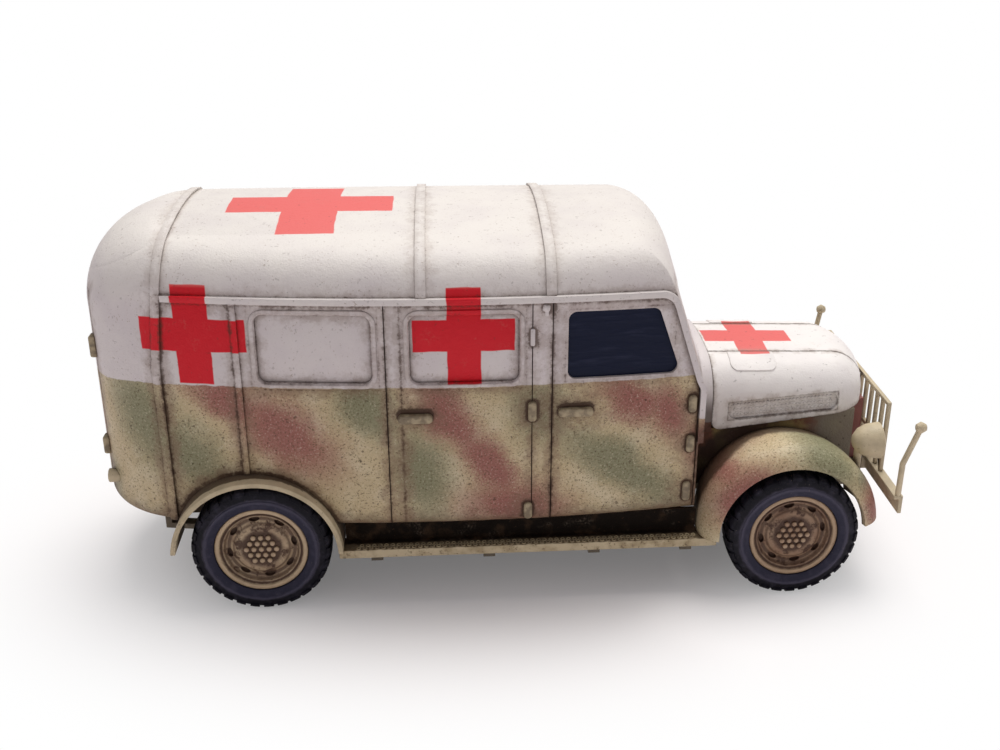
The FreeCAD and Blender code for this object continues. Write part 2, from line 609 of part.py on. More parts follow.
def wing_section():
    """Radial section of a front wing in the XY plane, X standing for the radius."""
    ridge = (WING_CROWN_R, WING_RIDGE_W)
    lip, root = (WING_LIP_R, WING_LIP_W), (WING_ROOT_R, VALANCE_Y)
    out_lip, out_root = rolled(ridge, lip, 0), rolled(ridge, root, 0)
    in_lip, in_root = rolled(ridge, lip, WING_T), rolled(ridge, root, WING_T)
    return face([arc(*out_lip), arc(*out_root), arc(*in_lip), arc(*in_root),
                 line(out_lip[2], in_lip[2]), line(out_root[2], in_root[2])])


def wing_height(x, width):
    """Height of the wing's outer surface at a station and width inboard of its ridge."""
    drop = WING_CROWN_R - WING_ROOT_R
    r = ((WING_RIDGE_W - VALANCE_Y) ** 2 + drop ** 2) / (2 * drop)
    radius = WING_CROWN_R - r + sqrt(r ** 2 - (WING_RIDGE_W - width) ** 2)
    return TYRE_R + sqrt(radius ** 2 - (x - WING_X) ** 2)


def wings():
    section = wing_section()
    section.rotate(V(0, 0, 0), V(0, 1, 0), -WING_FROM)
    swept = section.revolve(V(0, 0, 0), V(0, 1, 0), -(WING_TO - WING_FROM))
    swept.translate(V(WING_X, 0, TYRE_R))
    swept = swept.cut(OUTER).cut(block(-FAR, FAR, 0, FAR, -FAR, BOARD_Z))
    swept = swept.cut(block(0, FAR, 0, VALANCE_Y, 0, FAR))
    plate = block(GUARD_X + GUARD_R, WING_X - WING_LIP_R, BOARD_IN, BOARD_W, BOARD_Z - BOARD_T, BOARD_Z)
    apron = block(GUARD_X + GUARD_R + GUARD_T + GAP, WING_X - WING_CROWN_R - GAP,
                  BOARD_IN, BOARD_IN + APRON_T, BOARD_Z, SILL_Z)
    plate = plate.fuse(apron).removeSplitter()
    for name, side in SIDES:
        PARTS["front_wing_" + name] = on_side(swept, side)
        PARTS["running_board_" + name] = on_side(plate, side)


# ---- chassis ----
def chassis():
    rails, brackets = [], []
    axle_notch = [rod((x, -FAR, TYRE_R), (x, FAR, TYRE_R), AXLE_R + AXLE_PLAY) for x in (0, WHEELBASE)]
    arm_top = BOARD_Z - BOARD_T
    for side in (-1, 1):
        y0, y1 = sorted((side * RAIL_Y, side * (RAIL_Y + RAIL_W)))
        bar = block(RAIL_X0, RAIL_X1, y0, y1, FRAME_FOOT, FRAME_TOP)
        bar = bar.fuse(block(IRON_X0, BUMPER_X - BUMPER_T, y0, y1, FRAME_FOOT, IRON_TOP)).removeSplitter()
        rails.append(bar.cut(axle_notch[0]).cut(axle_notch[1]))
        for x in ARM_X:
            reach = sorted((side * RAIL_Y, side * BOARD_W * 0.97))
            arm = block(x - ARM_T, x + ARM_T, reach[0], reach[1], arm_top - ARM_T, arm_top)
            post = block(x - ARM_T, x + ARM_T, y0, y1, arm_top - ARM_T, FRAME_FOOT)
            brackets.append(arm.fuse(post).removeSplitter())
    PARTS["frame_rails"] = Part.makeCompound(rails)
    PARTS["board_brackets"] = Part.makeCompound(brackets)
    PARTS["cross_members"] = Part.makeCompound([
        block(x - CROSS_T, x + CROSS_T, -RAIL_Y, RAIL_Y, CROSS_FOOT, FRAME_TOP) for x in CROSS_X])


def clear_of_frame(shape):
    for name in ("frame_rails", "cross_members", "board_brackets", "rear_axle"):
        shape = shape.cut(PARTS[name])
    return shape


def spring(x, y, half, rise):
    low, high = TYRE_R - AXLE_R - SPRING_T, TYRE_R - AXLE_R - SPRING_T + rise
    leaf = face([arc((x - half, y, high), (x, y, low), (x + half, y, high)),
                 line((x + half, y, high), (x + half, y, high + SPRING_T)),
                 arc((x + half, y, high + SPRING_T), (x, y, low + SPRING_T), (x - half, y, high + SPRING_T)),
                 line((x - half, y, high + SPRING_T), (x - half, y, high))]).extrude(V(0, SPRING_W, 0))
    for end in (x - half, x + half - SPRING_T):
        leaf = leaf.fuse(block(end, end + SPRING_T, y, y + SPRING_W, high, FRAME_TOP))
        leaf = leaf.fuse(block(end, end + SPRING_T, RAIL_Y + RAIL_W, y + SPRING_W, HANGER_Z, FRAME_TOP))
    return leaf.removeSplitter()


def axle(x, tyre_face, name):
    inner = tyre_face - TYRE_W
    hub_y = inner - AXLE_SHORT
    stub_y = tyre_face - RIM_RECESS - HUB_FLOOR - TURN_GAP
    shape = rod((x, -hub_y, TYRE_R), (x, hub_y, TYRE_R), AXLE_R)
    for side in (-1, 1):
        shape = shape.fuse(rod((x, side * (hub_y - 0.1), TYRE_R), (x, side * stub_y, TYRE_R), STUB_R))
        if x > 0:
            y0, y1 = sorted((side * (hub_y - KNUCKLE_W), side * hub_y))
            shape = shape.fuse(block(x - KNUCKLE_W, x + KNUCKLE_W, y0, y1,
                                     TYRE_R - KNUCKLE_H, TYRE_R + KNUCKLE_H))
    if x == 0:
        shoulder = DIFF_R * 0.6
        case = polygon([(0, -DIFF_W, 0), (shoulder, -DIFF_W, 0), (DIFF_R, 0, 0), (shoulder, DIFF_W, 0),
                        (0, DIFF_W, 0)]).revolve(V(0, 0, 0), V(0, 1, 0), 360)
        case.translate(V(x, 0, TYRE_R))
        shape = shape.fuse(case)
    PARTS[name] = shape.removeSplitter()


def running_gear():
    axle(0, REAR_TYRE_FACE, "rear_axle")
    axle(WHEELBASE, FRONT_TYRE_FACE, "front_axle")
    for row in SPRINGS:
        left = spring(row["x"], SPRING_Y, row["half"], row["rise"]).cut(PARTS[row["end"] + "_axle"])
        PARTS["leaf_springs_" + row["end"]] = Part.makeCompound([left, mirrored(left)])
    shaft = rod((DIFF_R - 0.1, 0, TYRE_R), (SHAFT_X1, 0, TYRE_R), SHAFT_R)
    box = block(SHAFT_X1, SHAFT_X1 + GEARBOX_L, -GEARBOX_W, GEARBOX_W, TYRE_R - GEARBOX_DROP, FRAME_TOP)
    PARTS["gearbox_and_shaft"] = clear_of_frame(shaft.fuse(box)).removeSplitter()
    z = CROSS_FOOT - PIPE_R
    pipe = rod((PIPE_X0, -PIPE_Y, z), (PIPE_X1, -PIPE_Y, z), PIPE_R)
    drum = rod((SILENCER[0], -PIPE_Y, z), (SILENCER[1], -PIPE_Y, z), SILENCER[2])
    PARTS["exhaust"] = clear_of_frame(pipe.fuse(drum)).cut(SHELL)


# ---- wheels ----
def turned(points, face_y):
    """Solid of revolution about the wheel's axis; points are (radius, depth from the outer face)."""
    flat = polygon([(r, face_y - depth, 0) for r, depth in points])
    return flat.revolve(V(0, 0, 0), V(0, 1, 0), 360)


def tyre(face_y):
    half = [(RIM_R, 0.3), (4.3, 0.05), (4.7, 0.0), (4.76, 0.14), (5.45, 0.35), (TYRE_R, 0.8)]
    other = [(TYRE_R, TYRE_W - 0.8), (5.45, TYRE_W - 0.35), (4.3, TYRE_W), (RIM_R, TYRE_W - 0.3)]
    return turned(half + other, face_y)


def wheel_disc(face_y):
    bore = STUB_R + TURN_GAP
    out = RIM_RECESS
    deep = TYRE_W - 2 * RIM_RECESS
    points = [(0, out - 0.1), (0.5, out - 0.05), (0.7, out + 0.2), (2.1, out + 0.25),
              (2.4, out + 0.5), (2.96, out + 0.55), (3.3, out + 0.2), (3.5, out), (RIM_R, out),
              (RIM_R, out + deep), (3.4, out + deep), (3.2, out + 1.1), (1.3, out + 1.1),
              (1.3, out + deep + 0.1), (bore, out + deep + 0.1), (bore, out + HUB_FLOOR),
              (0, out + HUB_FLOOR)]
    disc = turned(points, face_y)
    for i in range(VENT_COUNT):
        vent = block(VENT_R - 0.2, VENT_R + 0.2, face_y - 2, face_y + 1, -0.42, 0.42)
        vent.rotate(V(0, 0, 0), V(0, 1, 0), 360.0 * i / VENT_COUNT)
        disc = disc.cut(vent)
    return disc


def wheels():
    for end, x, face_y in (("front", WHEELBASE, FRONT_TYRE_FACE), ("rear", 0, REAR_TYRE_FACE)):
        for name, side in SIDES:
            for kind, shape in (("tyre", tyre(face_y)), ("wheel", wheel_disc(face_y))):
                placed = on_side(shape, side)
                placed.translate(V(x, 0, TYRE_R))
                PARTS["_".join((kind, end, name))] = placed


# ---- fittings ----
def fittings():
    bar = block(BUMPER_X - BUMPER_T, BUMPER_X + BUMPER_T, -BUMPER_W, BUMPER_W, BUMPER_Z0, BUMPER_Z1)
    hollow = block(0, BUMPER_X + BUMPER_T - 0.35, -FAR, FAR, 0, BUMPER_Z1 - 0.35)
    iron = block(0, FAR, RAIL_Y, RAIL_Y + RAIL_W, 0, FAR)
    hollow = hollow.cut(iron).cut(mirrored(iron))
    PARTS["front_bumper"] = bar.cut(hollow)
    t = BRUSH_T / 2
    guard = block(BUMPER_X - t, BUMPER_X + t, -BRUSH_W, BRUSH_W, BRUSH_Z - BRUSH_T, BRUSH_Z)
    guard = guard.fuse(block(BUMPER_X - t, BUMPER_X + t, -BRUSH_W, BRUSH_W,
                             BRUSH_LOW_Z, BRUSH_LOW_Z + BRUSH_T))
    for i in range(BRUSH_BARS):
        y = -BRUSH_W + t + (2 * BRUSH_W - BRUSH_T) * i / (BRUSH_BARS - 1)
        guard = guard.fuse(block(BUMPER_X - t, BUMPER_X + t, y - t, y + t, BUMPER_Z1, BRUSH_Z))
    PARTS["brush_guard"] = guard.removeSplitter()
    foot = (BUMPER_X, BUMPER_W - ROD_R, BUMPER_Z1)
    ball = polygon([(along * ROD_BALL_R, out * ROD_BALL_R, 0) for along, out in BALL_PROFILE])
    ball = ball.revolve(V(0, 0, 0), V(1, 0, 0), 360)
    ball.translate(V(*ROD_TIP))
    marker = rod(foot, ROD_BEND, ROD_R).fuse(Part.makeSphere(ROD_R, V(*ROD_BEND)))
    marker = marker.fuse(rod(ROD_BEND, ROD_TIP, ROD_R)).fuse(ball)
    PARTS["marker_rods"] = Part.makeCompound([marker, mirrored(marker)])
    bowl = [(LAMP_X + LAMP_LEN * along, LAMP_R * out, 0) for along, out in LAMP_PROFILE]
    lamp = polygon(bowl).revolve(V(0, 0, 0), V(1, 0, 0), 360)
    lamp.translate(V(0, LAMP_Y, LAMP_Z))
    foot_x = LAMP_X - LAMP_LEN * 0.3
    foot_z = wing_height(foot_x, LAMP_Y) - WING_T * 0.7
    stalk = rod((foot_x, LAMP_Y, foot_z), (foot_x, LAMP_Y, LAMP_Z), STALK_R)
    lamp = lamp.fuse(stalk.cut(PARTS["front_wing_left"])).removeSplitter()
    PARTS["headlamps"] = Part.makeCompound([lamp, mirrored(lamp)])
    face_x = tail_x(TAIL_LAMP_Y)
    tail_lamp = rod((face_x - TAIL_LAMP_T, TAIL_LAMP_Y, TAIL_LAMP_Z), (face_x + 1, TAIL_LAMP_Y, TAIL_LAMP_Z),
                    TAIL_LAMP_R).cut(OUTER)
    PARTS["tail_lamps"] = Part.makeCompound([tail_lamp, mirrored(tail_lamp)])
    handles = []
    for x0, x1, z in HANDLES:
        y = half_width((x0 + x1) / 2)
        grip = block(x0, x1, y + 0.25, y + 0.55, z - 0.22, z + 0.22)
        boss = rod((x0 + 0.35, y - 1, z), (x0 + 0.35, y + 0.4, z), 0.3)
        handles.append(grip.fuse(boss).cut(OUTER).removeSplitter())
    PARTS["door_handles"] = Part.makeCompound(handles + [mirrored(h) for h in handles])
    hinges = []
    for x, z0, z1 in HINGES:
        y = half_width(x)
        hinges.append(block(x - HINGE_W / 2, x + HINGE_W / 2, y - 1, y + HINGE_T, z0, z1).cut(OUTER))
    for z0, z1 in TAIL_HINGES:
        y0 = REAR_DOOR["w"] - TAIL_HINGE_IN
        hinges.append(block(TAIL_X - 1, TAIL_X + 3, y0, y0 + TAIL_HINGE_W, z0, z1)
                      .common(envelope(-TAIL_HINGE_T)).cut(OUTER))
    PARTS["door_hinges"] = Part.makeCompound(hinges + [mirrored(h) for h in hinges])


def write_parts():
    os.makedirs("parts", exist_ok=True)
    middle = -(X_FRONT + TAIL_X) / 2
    for name, shape in PARTS.items():
        moved = shape.copy()
        moved.translate(V(middle, 0, 0))
        moved.exportStep("parts/" + name + ".step")


tail_panels(roof_panels())
side_panels()
front_of_cab()
body_beads()
drip_rails()
floor_and_housings()
bonnet()
nose()
wings()
chassis()
running_gear()
wheels()
fittings()
write_parts()
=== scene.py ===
from functools import reduce
from math import atan2, cos, pi, radians, sin

import bpy
from bpy.props import FloatProperty, FloatVectorProperty, IntProperty, PointerProperty
from mathutils import Matrix, Vector


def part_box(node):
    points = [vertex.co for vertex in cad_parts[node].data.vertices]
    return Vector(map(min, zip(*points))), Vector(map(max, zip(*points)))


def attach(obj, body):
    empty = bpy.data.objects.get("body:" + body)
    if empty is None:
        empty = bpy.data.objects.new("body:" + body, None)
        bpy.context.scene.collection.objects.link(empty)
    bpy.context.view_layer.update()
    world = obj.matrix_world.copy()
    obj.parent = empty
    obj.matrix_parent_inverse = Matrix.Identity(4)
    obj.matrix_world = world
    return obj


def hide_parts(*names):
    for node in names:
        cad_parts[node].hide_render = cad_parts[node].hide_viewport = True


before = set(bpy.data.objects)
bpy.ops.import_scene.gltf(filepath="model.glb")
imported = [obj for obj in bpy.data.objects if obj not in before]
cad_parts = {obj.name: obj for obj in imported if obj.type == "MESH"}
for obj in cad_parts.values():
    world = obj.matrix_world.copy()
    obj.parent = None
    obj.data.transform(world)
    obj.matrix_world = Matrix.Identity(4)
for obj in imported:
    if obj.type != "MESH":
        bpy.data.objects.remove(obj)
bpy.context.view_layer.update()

bl_info = {
    "name": "Ambulance truck scale model",
    "version": (1, 0, 0),
    "blender": (4, 5, 0),
    "location": "3D View > Sidebar > Ambulance",
    "description": "Paints and details a small cast model of a military ambulance truck",
    "category": "Object",
}

MM = 0.001
SIDES = (("left", 1), ("right", -1))
REAR_AXLE = (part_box("tyre_rear_left")[0].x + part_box("tyre_rear_left")[1].x) / 2
WHEELBASE, AXLE_HEIGHT = 45.1, 5.8


def at(x, y, z):
    """Point in metres from millimetres ahead of the rear axle, to the left and up."""
    return Vector((REAR_AXLE + x * MM, y * MM, z * MM))


# ---- values a user may change ----
def colour(label, about, value):
    """Colour property in linear RGB."""
    return FloatVectorProperty(name=label, description=about, default=value, size=3, min=0, max=1,
                               subtype="COLOR")


def size(label, about, value):
    """Length property; the value is in millimetres."""
    return FloatProperty(name=label, description=about, default=value * MM, min=0, unit="LENGTH",
                         subtype="DISTANCE")


class PaintColours(bpy.types.PropertyGroup):
    """Paints of the model, as they dry"""

    white: colour("White", "Upper body, roof and bonnet", (0.80, 0.765, 0.725))
    sand: colour("Dark yellow", "Base coat of the lower body", (0.56, 0.455, 0.275))
    green: colour("Green", "First colour of the sprayed bands", (0.225, 0.225, 0.13))
    brown: colour("Red brown", "Second colour of the sprayed bands", (0.30, 0.105, 0.09))
    red: colour("Red", "Crosses", (0.66, 0.006, 0.018))
    navy: colour("Navy", "Painted windows of the cab", (0.006, 0.010, 0.030))
    khaki: colour("Khaki", "Bumper, boards, mudguards and fittings", (0.58, 0.49, 0.33))
    wash: colour("Wash", "Thinned dark paint that settles in the seams", (0.055, 0.032, 0.018))


class WheelSizes(bpy.types.PropertyGroup):
    """Tyres and wheel discs"""

    lugs: IntProperty(name="Lugs", description="Tread lugs around one tyre", default=30, min=12, max=60)
    lug_height: size("Lug height", "How far a lug stands out of the tread", 0.14)
    nut_radius: size("Nut radius", "Radius of a moulded wheel nut", 0.24)
    rubber: colour("Rubber", "Tyres", (0.005, 0.005, 0.010))
    metal: colour("Wheel paint", "Wheel discs under the wash", (0.53, 0.40, 0.255))


class TrimSizes(bpy.types.PropertyGroup):
    """Cast edges and small trim"""

    edge: size("Edge", "Rounding of the cast edges of the panels", 0.07)
    rim_width: size("Rim width", "Width of the raised frame around a side window", 0.38)
    rim_height: size("Rim height", "How far that frame stands out", 0.13)


class StageSettings(bpy.types.PropertyGroup):
    """Floor and lamps"""

    key: FloatProperty(name="Key lamp", description="Power of the large lamp behind and above", default=2.1,
                       min=0, unit="POWER")
    ambient: FloatProperty(name="Ambient", description="Strength of the light all around", default=0.34,
                           min=0, max=1, subtype="FACTOR")
    floor: colour("Floor", "Paper that the model stands on", (0.92, 0.88, 0.885))


# ---- materials ----
def arithmetic(operation, swapped=False):
    """Method of Value that adds one Math node."""
    def method(self, other=0.0):
        first, second = (other, self) if swapped else (self, other)
        return self.nodes.add("Math", {0: first, 1: second}, operation=operation)
    return method


class Value:
    """An output of a node; arithmetic on it adds Math nodes."""

    def __init__(self, nodes, socket):
        self.nodes, self.socket = nodes, socket

    __add__, __radd__ = arithmetic("ADD"), arithmetic("ADD", True)
    __sub__, __rsub__ = arithmetic("SUBTRACT"), arithmetic("SUBTRACT", True)
    __mul__, __abs__ = arithmetic("MULTIPLY"), arithmetic("ABSOLUTE")
    least, most = arithmetic("MINIMUM"), arithmetic("MAXIMUM")


class Nodes:
    """A node tree under construction."""

    def __init__(self, owner):
        owner.use_nodes = True
        self.tree = owner.node_tree

    def add(self, kind, inputs=None, out=0, **settings):
        """Adds a shader node with its inputs and settings, and returns one of its outputs."""
        node = self.tree.nodes.new("ShaderNode" + kind)
        for key, value in settings.items():
            setattr(node, key, value)
        self.fill(node, inputs or {})
        return Value(self, node.outputs[out])

    def fill(self, node, inputs):
        """Feeds the inputs of a node, by name or number."""
        for key, value in inputs.items():
            self.feed(node.inputs[key], value)

    def feed(self, socket, value):
        """Links a value to a socket, or sets the socket to a plain value."""
        if isinstance(value, Value):
            self.tree.links.new(value.socket, socket)
        else:
            socket.default_value = value

    def show(self, output, factor, first, second):
        """Mixes two shaders into the Surface of an output node."""
        mix = self.add("MixShader", {0: factor, 1: first, 2: second})
        self.fill(self.tree.nodes[output], {"Surface": mix})


class Surface(Nodes):
    """A material under construction: layers of paint on a coat, placed in millimetres from the rear axle."""

    def __init__(self, name, coat=(1, 1, 1)):
        self.material, self.coat = bpy.data.materials.new(name), coat
        super().__init__(self.material)
        self.shader = self.tree.nodes["Principled BSDF"]
        place = self.add("TexCoord", out="Object")
        self.place = self.add("VectorMath", {0: place, 1: (1 / MM,) * 3, 2: (-REAR_AXLE / MM, 0, 0)},
                              operation="MULTIPLY_ADD")
        self.x, self.y, self.z = (self.add("SeparateXYZ", {0: self.place}, axis) for axis in "XYZ")

    def smooth(self, value, low, high):
        """0 up to low and 1 from high on, with soft ends."""
        return self.add("MapRange", {"Value": value, "From Min": low, "From Max": high},
                        interpolation_type="SMOOTHSTEP")

    def noise(self, scale, detail=2.0, rough=0.5, place=None):
        """Noise with about scale features to the millimetre."""
        return self.add("TexNoise", {"Vector": place or self.place, "Scale": scale, "Detail": detail,
                                     "Roughness": rough}, "Fac")

    def patches(self, low, high, *noise):
        """Mask of soft patches, where noise goes from low to high."""
        return self.smooth(self.noise(*noise), low, high)

    def wander(self, spread, *noise):
        """Noise about zero, so many times spread."""
        return (self.noise(*noise) - 0.5) * spread

    def brushed(self):
        """Height of brush marks over fine grain."""
        return self.noise(7.0, 3.0) * 0.45 + self.noise(1.1, 2.0) * 0.55

    def vector(self, x, y, z):
        return self.add("CombineXYZ", {0: x, 1: y, 2: z})

    def length(self, vector):
        return self.add("VectorMath", {0: vector}, "Value", operation="LENGTH")

    def from_point(self, x, z):
        """Distance in the side view from a point, which may be values."""
        return self.length(self.vector(self.x - x, 0.0, self.z - z))

    def blend(self, first, second, mask):
        """Colour that goes from first to second as the mask rises."""
        return self.add("Mix", {0: mask, 6: rgba(first), 7: rgba(second)}, 2, data_type="RGBA")

    def paint(self, colour, mask):
        """Lays a colour over the coat where the mask is high."""
        self.coat = self.blend(self.coat, colour, mask)

    def recess(self, reach):
        """1 in a corner or seam and 0 on open ground."""
        return 1 - self.add("AmbientOcclusion", {"Distance": reach * MM}, "AO", samples=5)

    def finish(self, roughness, height, depth, specular=0.5):
        """Connects the coat and what changes over the surface, and sets the shine."""
        bump = self.add("Bump", {"Height": height, "Distance": depth * MM, "Strength": 1.0}, "Normal")
        self.fill(self.shader, {"Base Color": rgba(self.coat), "Roughness": roughness, "Normal": bump,
                                "Specular IOR Level": specular})
        return self.material


def rgba(value):
    """A colour with its alpha, or a value as it is."""
    return value if isinstance(value, Value) else (*value, 1.0)


def paints():
    return bpy.context.scene.ambulance_paint


# sprayed bands: station and height of the middle, half length, half width, degrees down towards the front
GREEN_BANDS = (
    (-9.5, 16.8, 5.0, 3.3, 52), (-5.4, 14.2, 3.6, 2.4, 50), (9.3, 18.2, 3.6, 2.1, 50),
    (13.4, 12.4, 4.2, 2.2, 78), (23.3, 17.8, 3.4, 2.5, 62), (30.3, 12.1, 7.2, 1.9, 37),
    (48.0, 12.7, 3.3, 2.0, 25), (-17.5, 8.6, 2.4, 3.2, 20), (51.8, 11.0, 1.2, 1.6, 60),
)
BROWN_BANDS = (
    (-1.6, 18.9, 4.0, 1.8, 32), (2.5, 16.1, 5.2, 2.7, 40), (15.9, 17.4, 4.6, 1.9, 55),
    (18.9, 13.0, 4.6, 1.8, 56), (21.2, 9.2, 4.6, 2.3, 5), (30.9, 18.2, 3.4, 1.6, 35),
    (33.9, 16.9, 2.9, 1.9, 52), (40.6, 9.8, 3.5, 2.2, -35), (-20.5, 16.0, 4.2, 2.4, 60),
    (52.6, 8.2, 2.2, 1.3, 60), (38.3, 12.6, 3.6, 2.0, 70), (36.9, 14.6, 1.5, 1.2, 90),
)
BAND_STRENGTH = 0.94
# crosses on the sides: station, height and size
SIDE_CROSSES = ((-4.1, 24.45, 8.3), (17.1, 24.45, 8.1))
# crosses on the roof and bonnet: station, distance to the left, size, and the height from which they show
TOP_CROSSES = ((4.65, -0.2, 13.7, 27.0), (43.0, 0.0, 8.0, 15.0))
# dark brown, for wash in joints and for painted shade on the wings
DEEP_WASH_AND_SHADE = (0.06, 0.032, 0.018)
OFF = 9   # added to a distance, it takes a stain away


def cross(s, across, along, extent):
    """Mask of a cross whose arms are a third of its size wide."""
    far = abs(across).most(abs(along))
    near = abs(across).least(abs(along))
    soft = 0.05
    return s.smooth(far, extent / 2 + soft, extent / 2 - soft) * s.smooth(
        near, extent / 6 + soft, extent / 6 - soft)


def crosses(s):
    """Mask of all red crosses."""
    wobble = s.wander(0.25, 0.5)
    masks = [cross(s, s.x - x + wobble, s.z - z + wobble, extent) * s.smooth(abs(s.y), 7, 8)
             for x, z, extent in SIDE_CROSSES]
    masks += [cross(s, s.x - x + wobble, s.y - y + wobble, extent) * s.smooth(s.z, above, above + 1)
              for x, y, extent, above in TOP_CROSSES]
    return reduce(Value.most, masks)


def bands(s, place, table):
    """Mask of soft sprayed bands in the side view."""
    masks = []
    for x, z, length, width, tilt in table:
        local = s.add("Mapping", {"Vector": place, "Location": (x, 0, z), "Scale": (length, 1, width),
                                  "Rotation": (0, radians(tilt), 0)}, vector_type="TEXTURE")
        masks.append(s.smooth(s.length(local), 1.6, 0.3))
    return reduce(Value.most, masks) * BAND_STRENGTH


def camouflage(s):
    """Lays the base coat, and green and red brown bands that run around the tail."""
    p = paints()
    tail = s.smooth(s.x, -7.0, -8.5)
    around = s.x - (10.4 - abs(s.y)).most(0.0) * tail * 0.85 + s.smooth(s.y, -3.0, 3.0) * 5.0
    drift = s.wander(1.6, 0.35, 1.0)
    grain = s.wander(1.3, 7.0, 1.0)
    place = s.vector(around + drift + grain, 0.0, s.z + drift + grain)
    s.coat = p.sand
    s.paint((0.64, 0.55, 0.37), s.patches(0.4, 0.75, 0.45))
    s.paint(p.green, bands(s, place, GREEN_BANDS))
    s.paint(p.brown, bands(s, place, BROWN_BANDS))
    pepper = s.noise(5.5, 2.0, 0.8)
    s.paint((0.10, 0.07, 0.035), s.smooth(pepper, 0.54, 0.68) * 0.75)
    s.paint((0.76, 0.70, 0.55), s.smooth(pepper, 0.44, 0.26) * 0.42)


# Where thinned paint settles on the sides.
# Standing lines: station, and how much fainter, in millimetres of reach
STANDING = ((10.86, 0.06), (12.05, 0.06), (22.54, 0.15), (24.16, 0.0), (-7.68, 0.15), (-6.90, 0.0),
            (-1.10, 0.03), (-0.50, 0.15))
STANDING_MIDDLE, STANDING_HALF = 17.3, 9.9
SCREEN_PILLAR, SCREEN_FOOT, SCREEN_LEAN = 36.54, 19.6, 0.33
# lying lines: rear end, front end, height, and how much fainter
LYING = ((-14.0, 38.0, 7.4, 0.02), (-6.6, 33.5, 27.0, 0.08), (-6.6, 34.2, 27.75, 0.16))
# side windows, all lines round windows, and fittings: rear edge, front edge, foot and top
WINDOWS = ((0.8, 9.8, 20.5, 26.3), (12.8, 21.5, 20.5, 26.3))
FRAMES = (*WINDOWS, (0.25, 10.35, 19.95, 26.85), (12.25, 22.05, 19.95, 26.85), (25.2, 34.2, 20.3, 26.5))
STAINED = (
    (11.8, 14.4, 17.3, 18.1), (24.8, 27.45, 17.4, 18.2), (22.2, 22.95, 17.0, 18.7),
    (35.7, 36.45, 16.9, 18.4), (35.7, 36.4, 13.2, 14.7), (35.6, 36.3, 8.6, 10.3), (21.9, 22.6, 8.0, 9.4),
    (23.4, 24.3, 26.5, 27.0), (22.4, 22.75, 23.5, 25.0),
)
ROOF_SEAMS = (13.8, 24.0)
TAIL_SEAM = -7.3
GUARD_CENTRE, GUARD_REACH = (-0.3, 5.2), 7.3
WING_REACH = 8.3
REAR_DOOR_EDGE = 5.64


def beyond(value, low, high):
    """Distance outside a span, and minus the depth inside it."""
    return abs(value - (low + high) / 2) - (high - low) / 2


def from_box(s, x0, x1, z0, z1):
    """Distance outside a rectangle in the side view, and minus the depth inside it."""
    return beyond(s.x, x0, x1).most(beyond(s.z, z0, z1))


def from_plate(s, x0, x1, z0, z1, corner=0.3):
    """Distance outside a small plate with round corners in the side view."""
    across = beyond(s.x, x0 + corner, x1 - corner).most(0.0)
    up = beyond(s.z, z0 + corner, z1 - corner).most(0.0)
    return (s.length(s.vector(across, 0.0, up)) - corner).most(0.0)


def stains(s):
    """Masks of dark paint in the joints of the sides and tail, and of the brown haze around them."""
    x, y, z = s.x, abs(s.y), s.z
    lean = x - (z - 21.5).most(0.0) * s.smooth(x, -5.0, -6.0) * 0.1
    lines = [abs(lean - station) + fainter for station, fainter in STANDING]
    lines.append(abs(x + (z - SCREEN_FOOT).most(0.0) * SCREEN_LEAN - SCREEN_PILLAR))
    reach = [reduce(Value.least, lines).most(abs(z - STANDING_MIDDLE) - STANDING_HALF)]
    reach += [from_box(s, low, high, height, height) + fainter for low, high, height, fainter in LYING]
    guard = (s.from_point(*GUARD_CENTRE) - GUARD_REACH).most(0.0) * 1.3
    wing = (s.from_point(WHEELBASE, AXLE_HEIGHT) - WING_REACH).most(0.0) * 0.8
    reach += [guard + s.smooth(z, 6.5, 5.5) * OFF, wing + s.smooth(z, 7.0, 6.0) * OFF]
    reach += [abs(from_box(s, *span)) + 0.19 for span in FRAMES]
    plates = reduce(Value.least, [from_plate(s, *span) for span in STAINED])
    side = reduce(Value.least, reach + [plates * 0.6]) + s.smooth(y, 8.2, 7.0) * OFF
    roof = [abs(abs(lean - TAIL_SEAM) - 0.42)] + [abs(abs(x - seam) - 0.47) for seam in ROOF_SEAMS]
    roof = reduce(Value.least, roof) + s.smooth(z, 28.4, 27.6) * OFF + 0.26
    rear = abs(y - REAR_DOOR_EDGE).least(y).most(abs(z - 17.45) - 9.0)
    reach = side.least(roof).least(rear + s.smooth(x, -11.5, -10.5) * OFF)
    patchy = s.noise(0.9, 3.0, 0.65)
    ragged = s.wander(0.7, 3.5, 3.0, 0.7)
    broken = s.patches(0.36, 0.58, 0.45, 3.0, 0.6) * 0.45 + 0.55
    core = s.smooth(reach + ragged * 0.8 + (0.55 - patchy) * 0.55, 0.29, 0.02) * broken
    core = core.most(s.smooth(plates + ragged * 0.45, 0.34, 0.14) * s.smooth(patchy, 0.2, 0.42))
    haze = s.smooth(reach + ragged * 1.6 + (0.5 - patchy) * 2.4, 1.15, 0.0)
    return core, haze


def weathered(s, specks=1.0, wash=1.0, reach=0.7):
    """Lays grime, specks and wash in the seams, and returns the mask of the wash."""
    p = paints()
    patch, fine = s.noise(0.8, 3.0), s.noise(5.0, 3.0)
    seam = s.smooth(s.recess(reach) + (patch - 0.5) * 0.35 + (fine - 0.5) * 0.2, 0.3, 0.72) * wash
    grime = s.smooth(patch, 0.52, 0.8) * s.smooth(fine, 0.4, 0.75) * 0.35 * wash
    s.paint((0.36, 0.29, 0.22), grime)
    s.paint(p.wash, s.patches(0.68, 0.72, 2.6) * specks * 0.6)
    s.paint(p.wash, seam * 0.9)
    return seam


def red_paint(s):
    """Red of the crosses, lighter and pinker on the roof and bonnet as a painted sheen."""
    # painted sheen: the red is mixed towards pink on the top surfaces
    up = s.smooth(s.z + s.smooth(s.x, 37.5, 38.5) * 11.5, 28.3, 28.7)
    return s.blend(paints().red, (0.80, 0.16, 0.15), up)


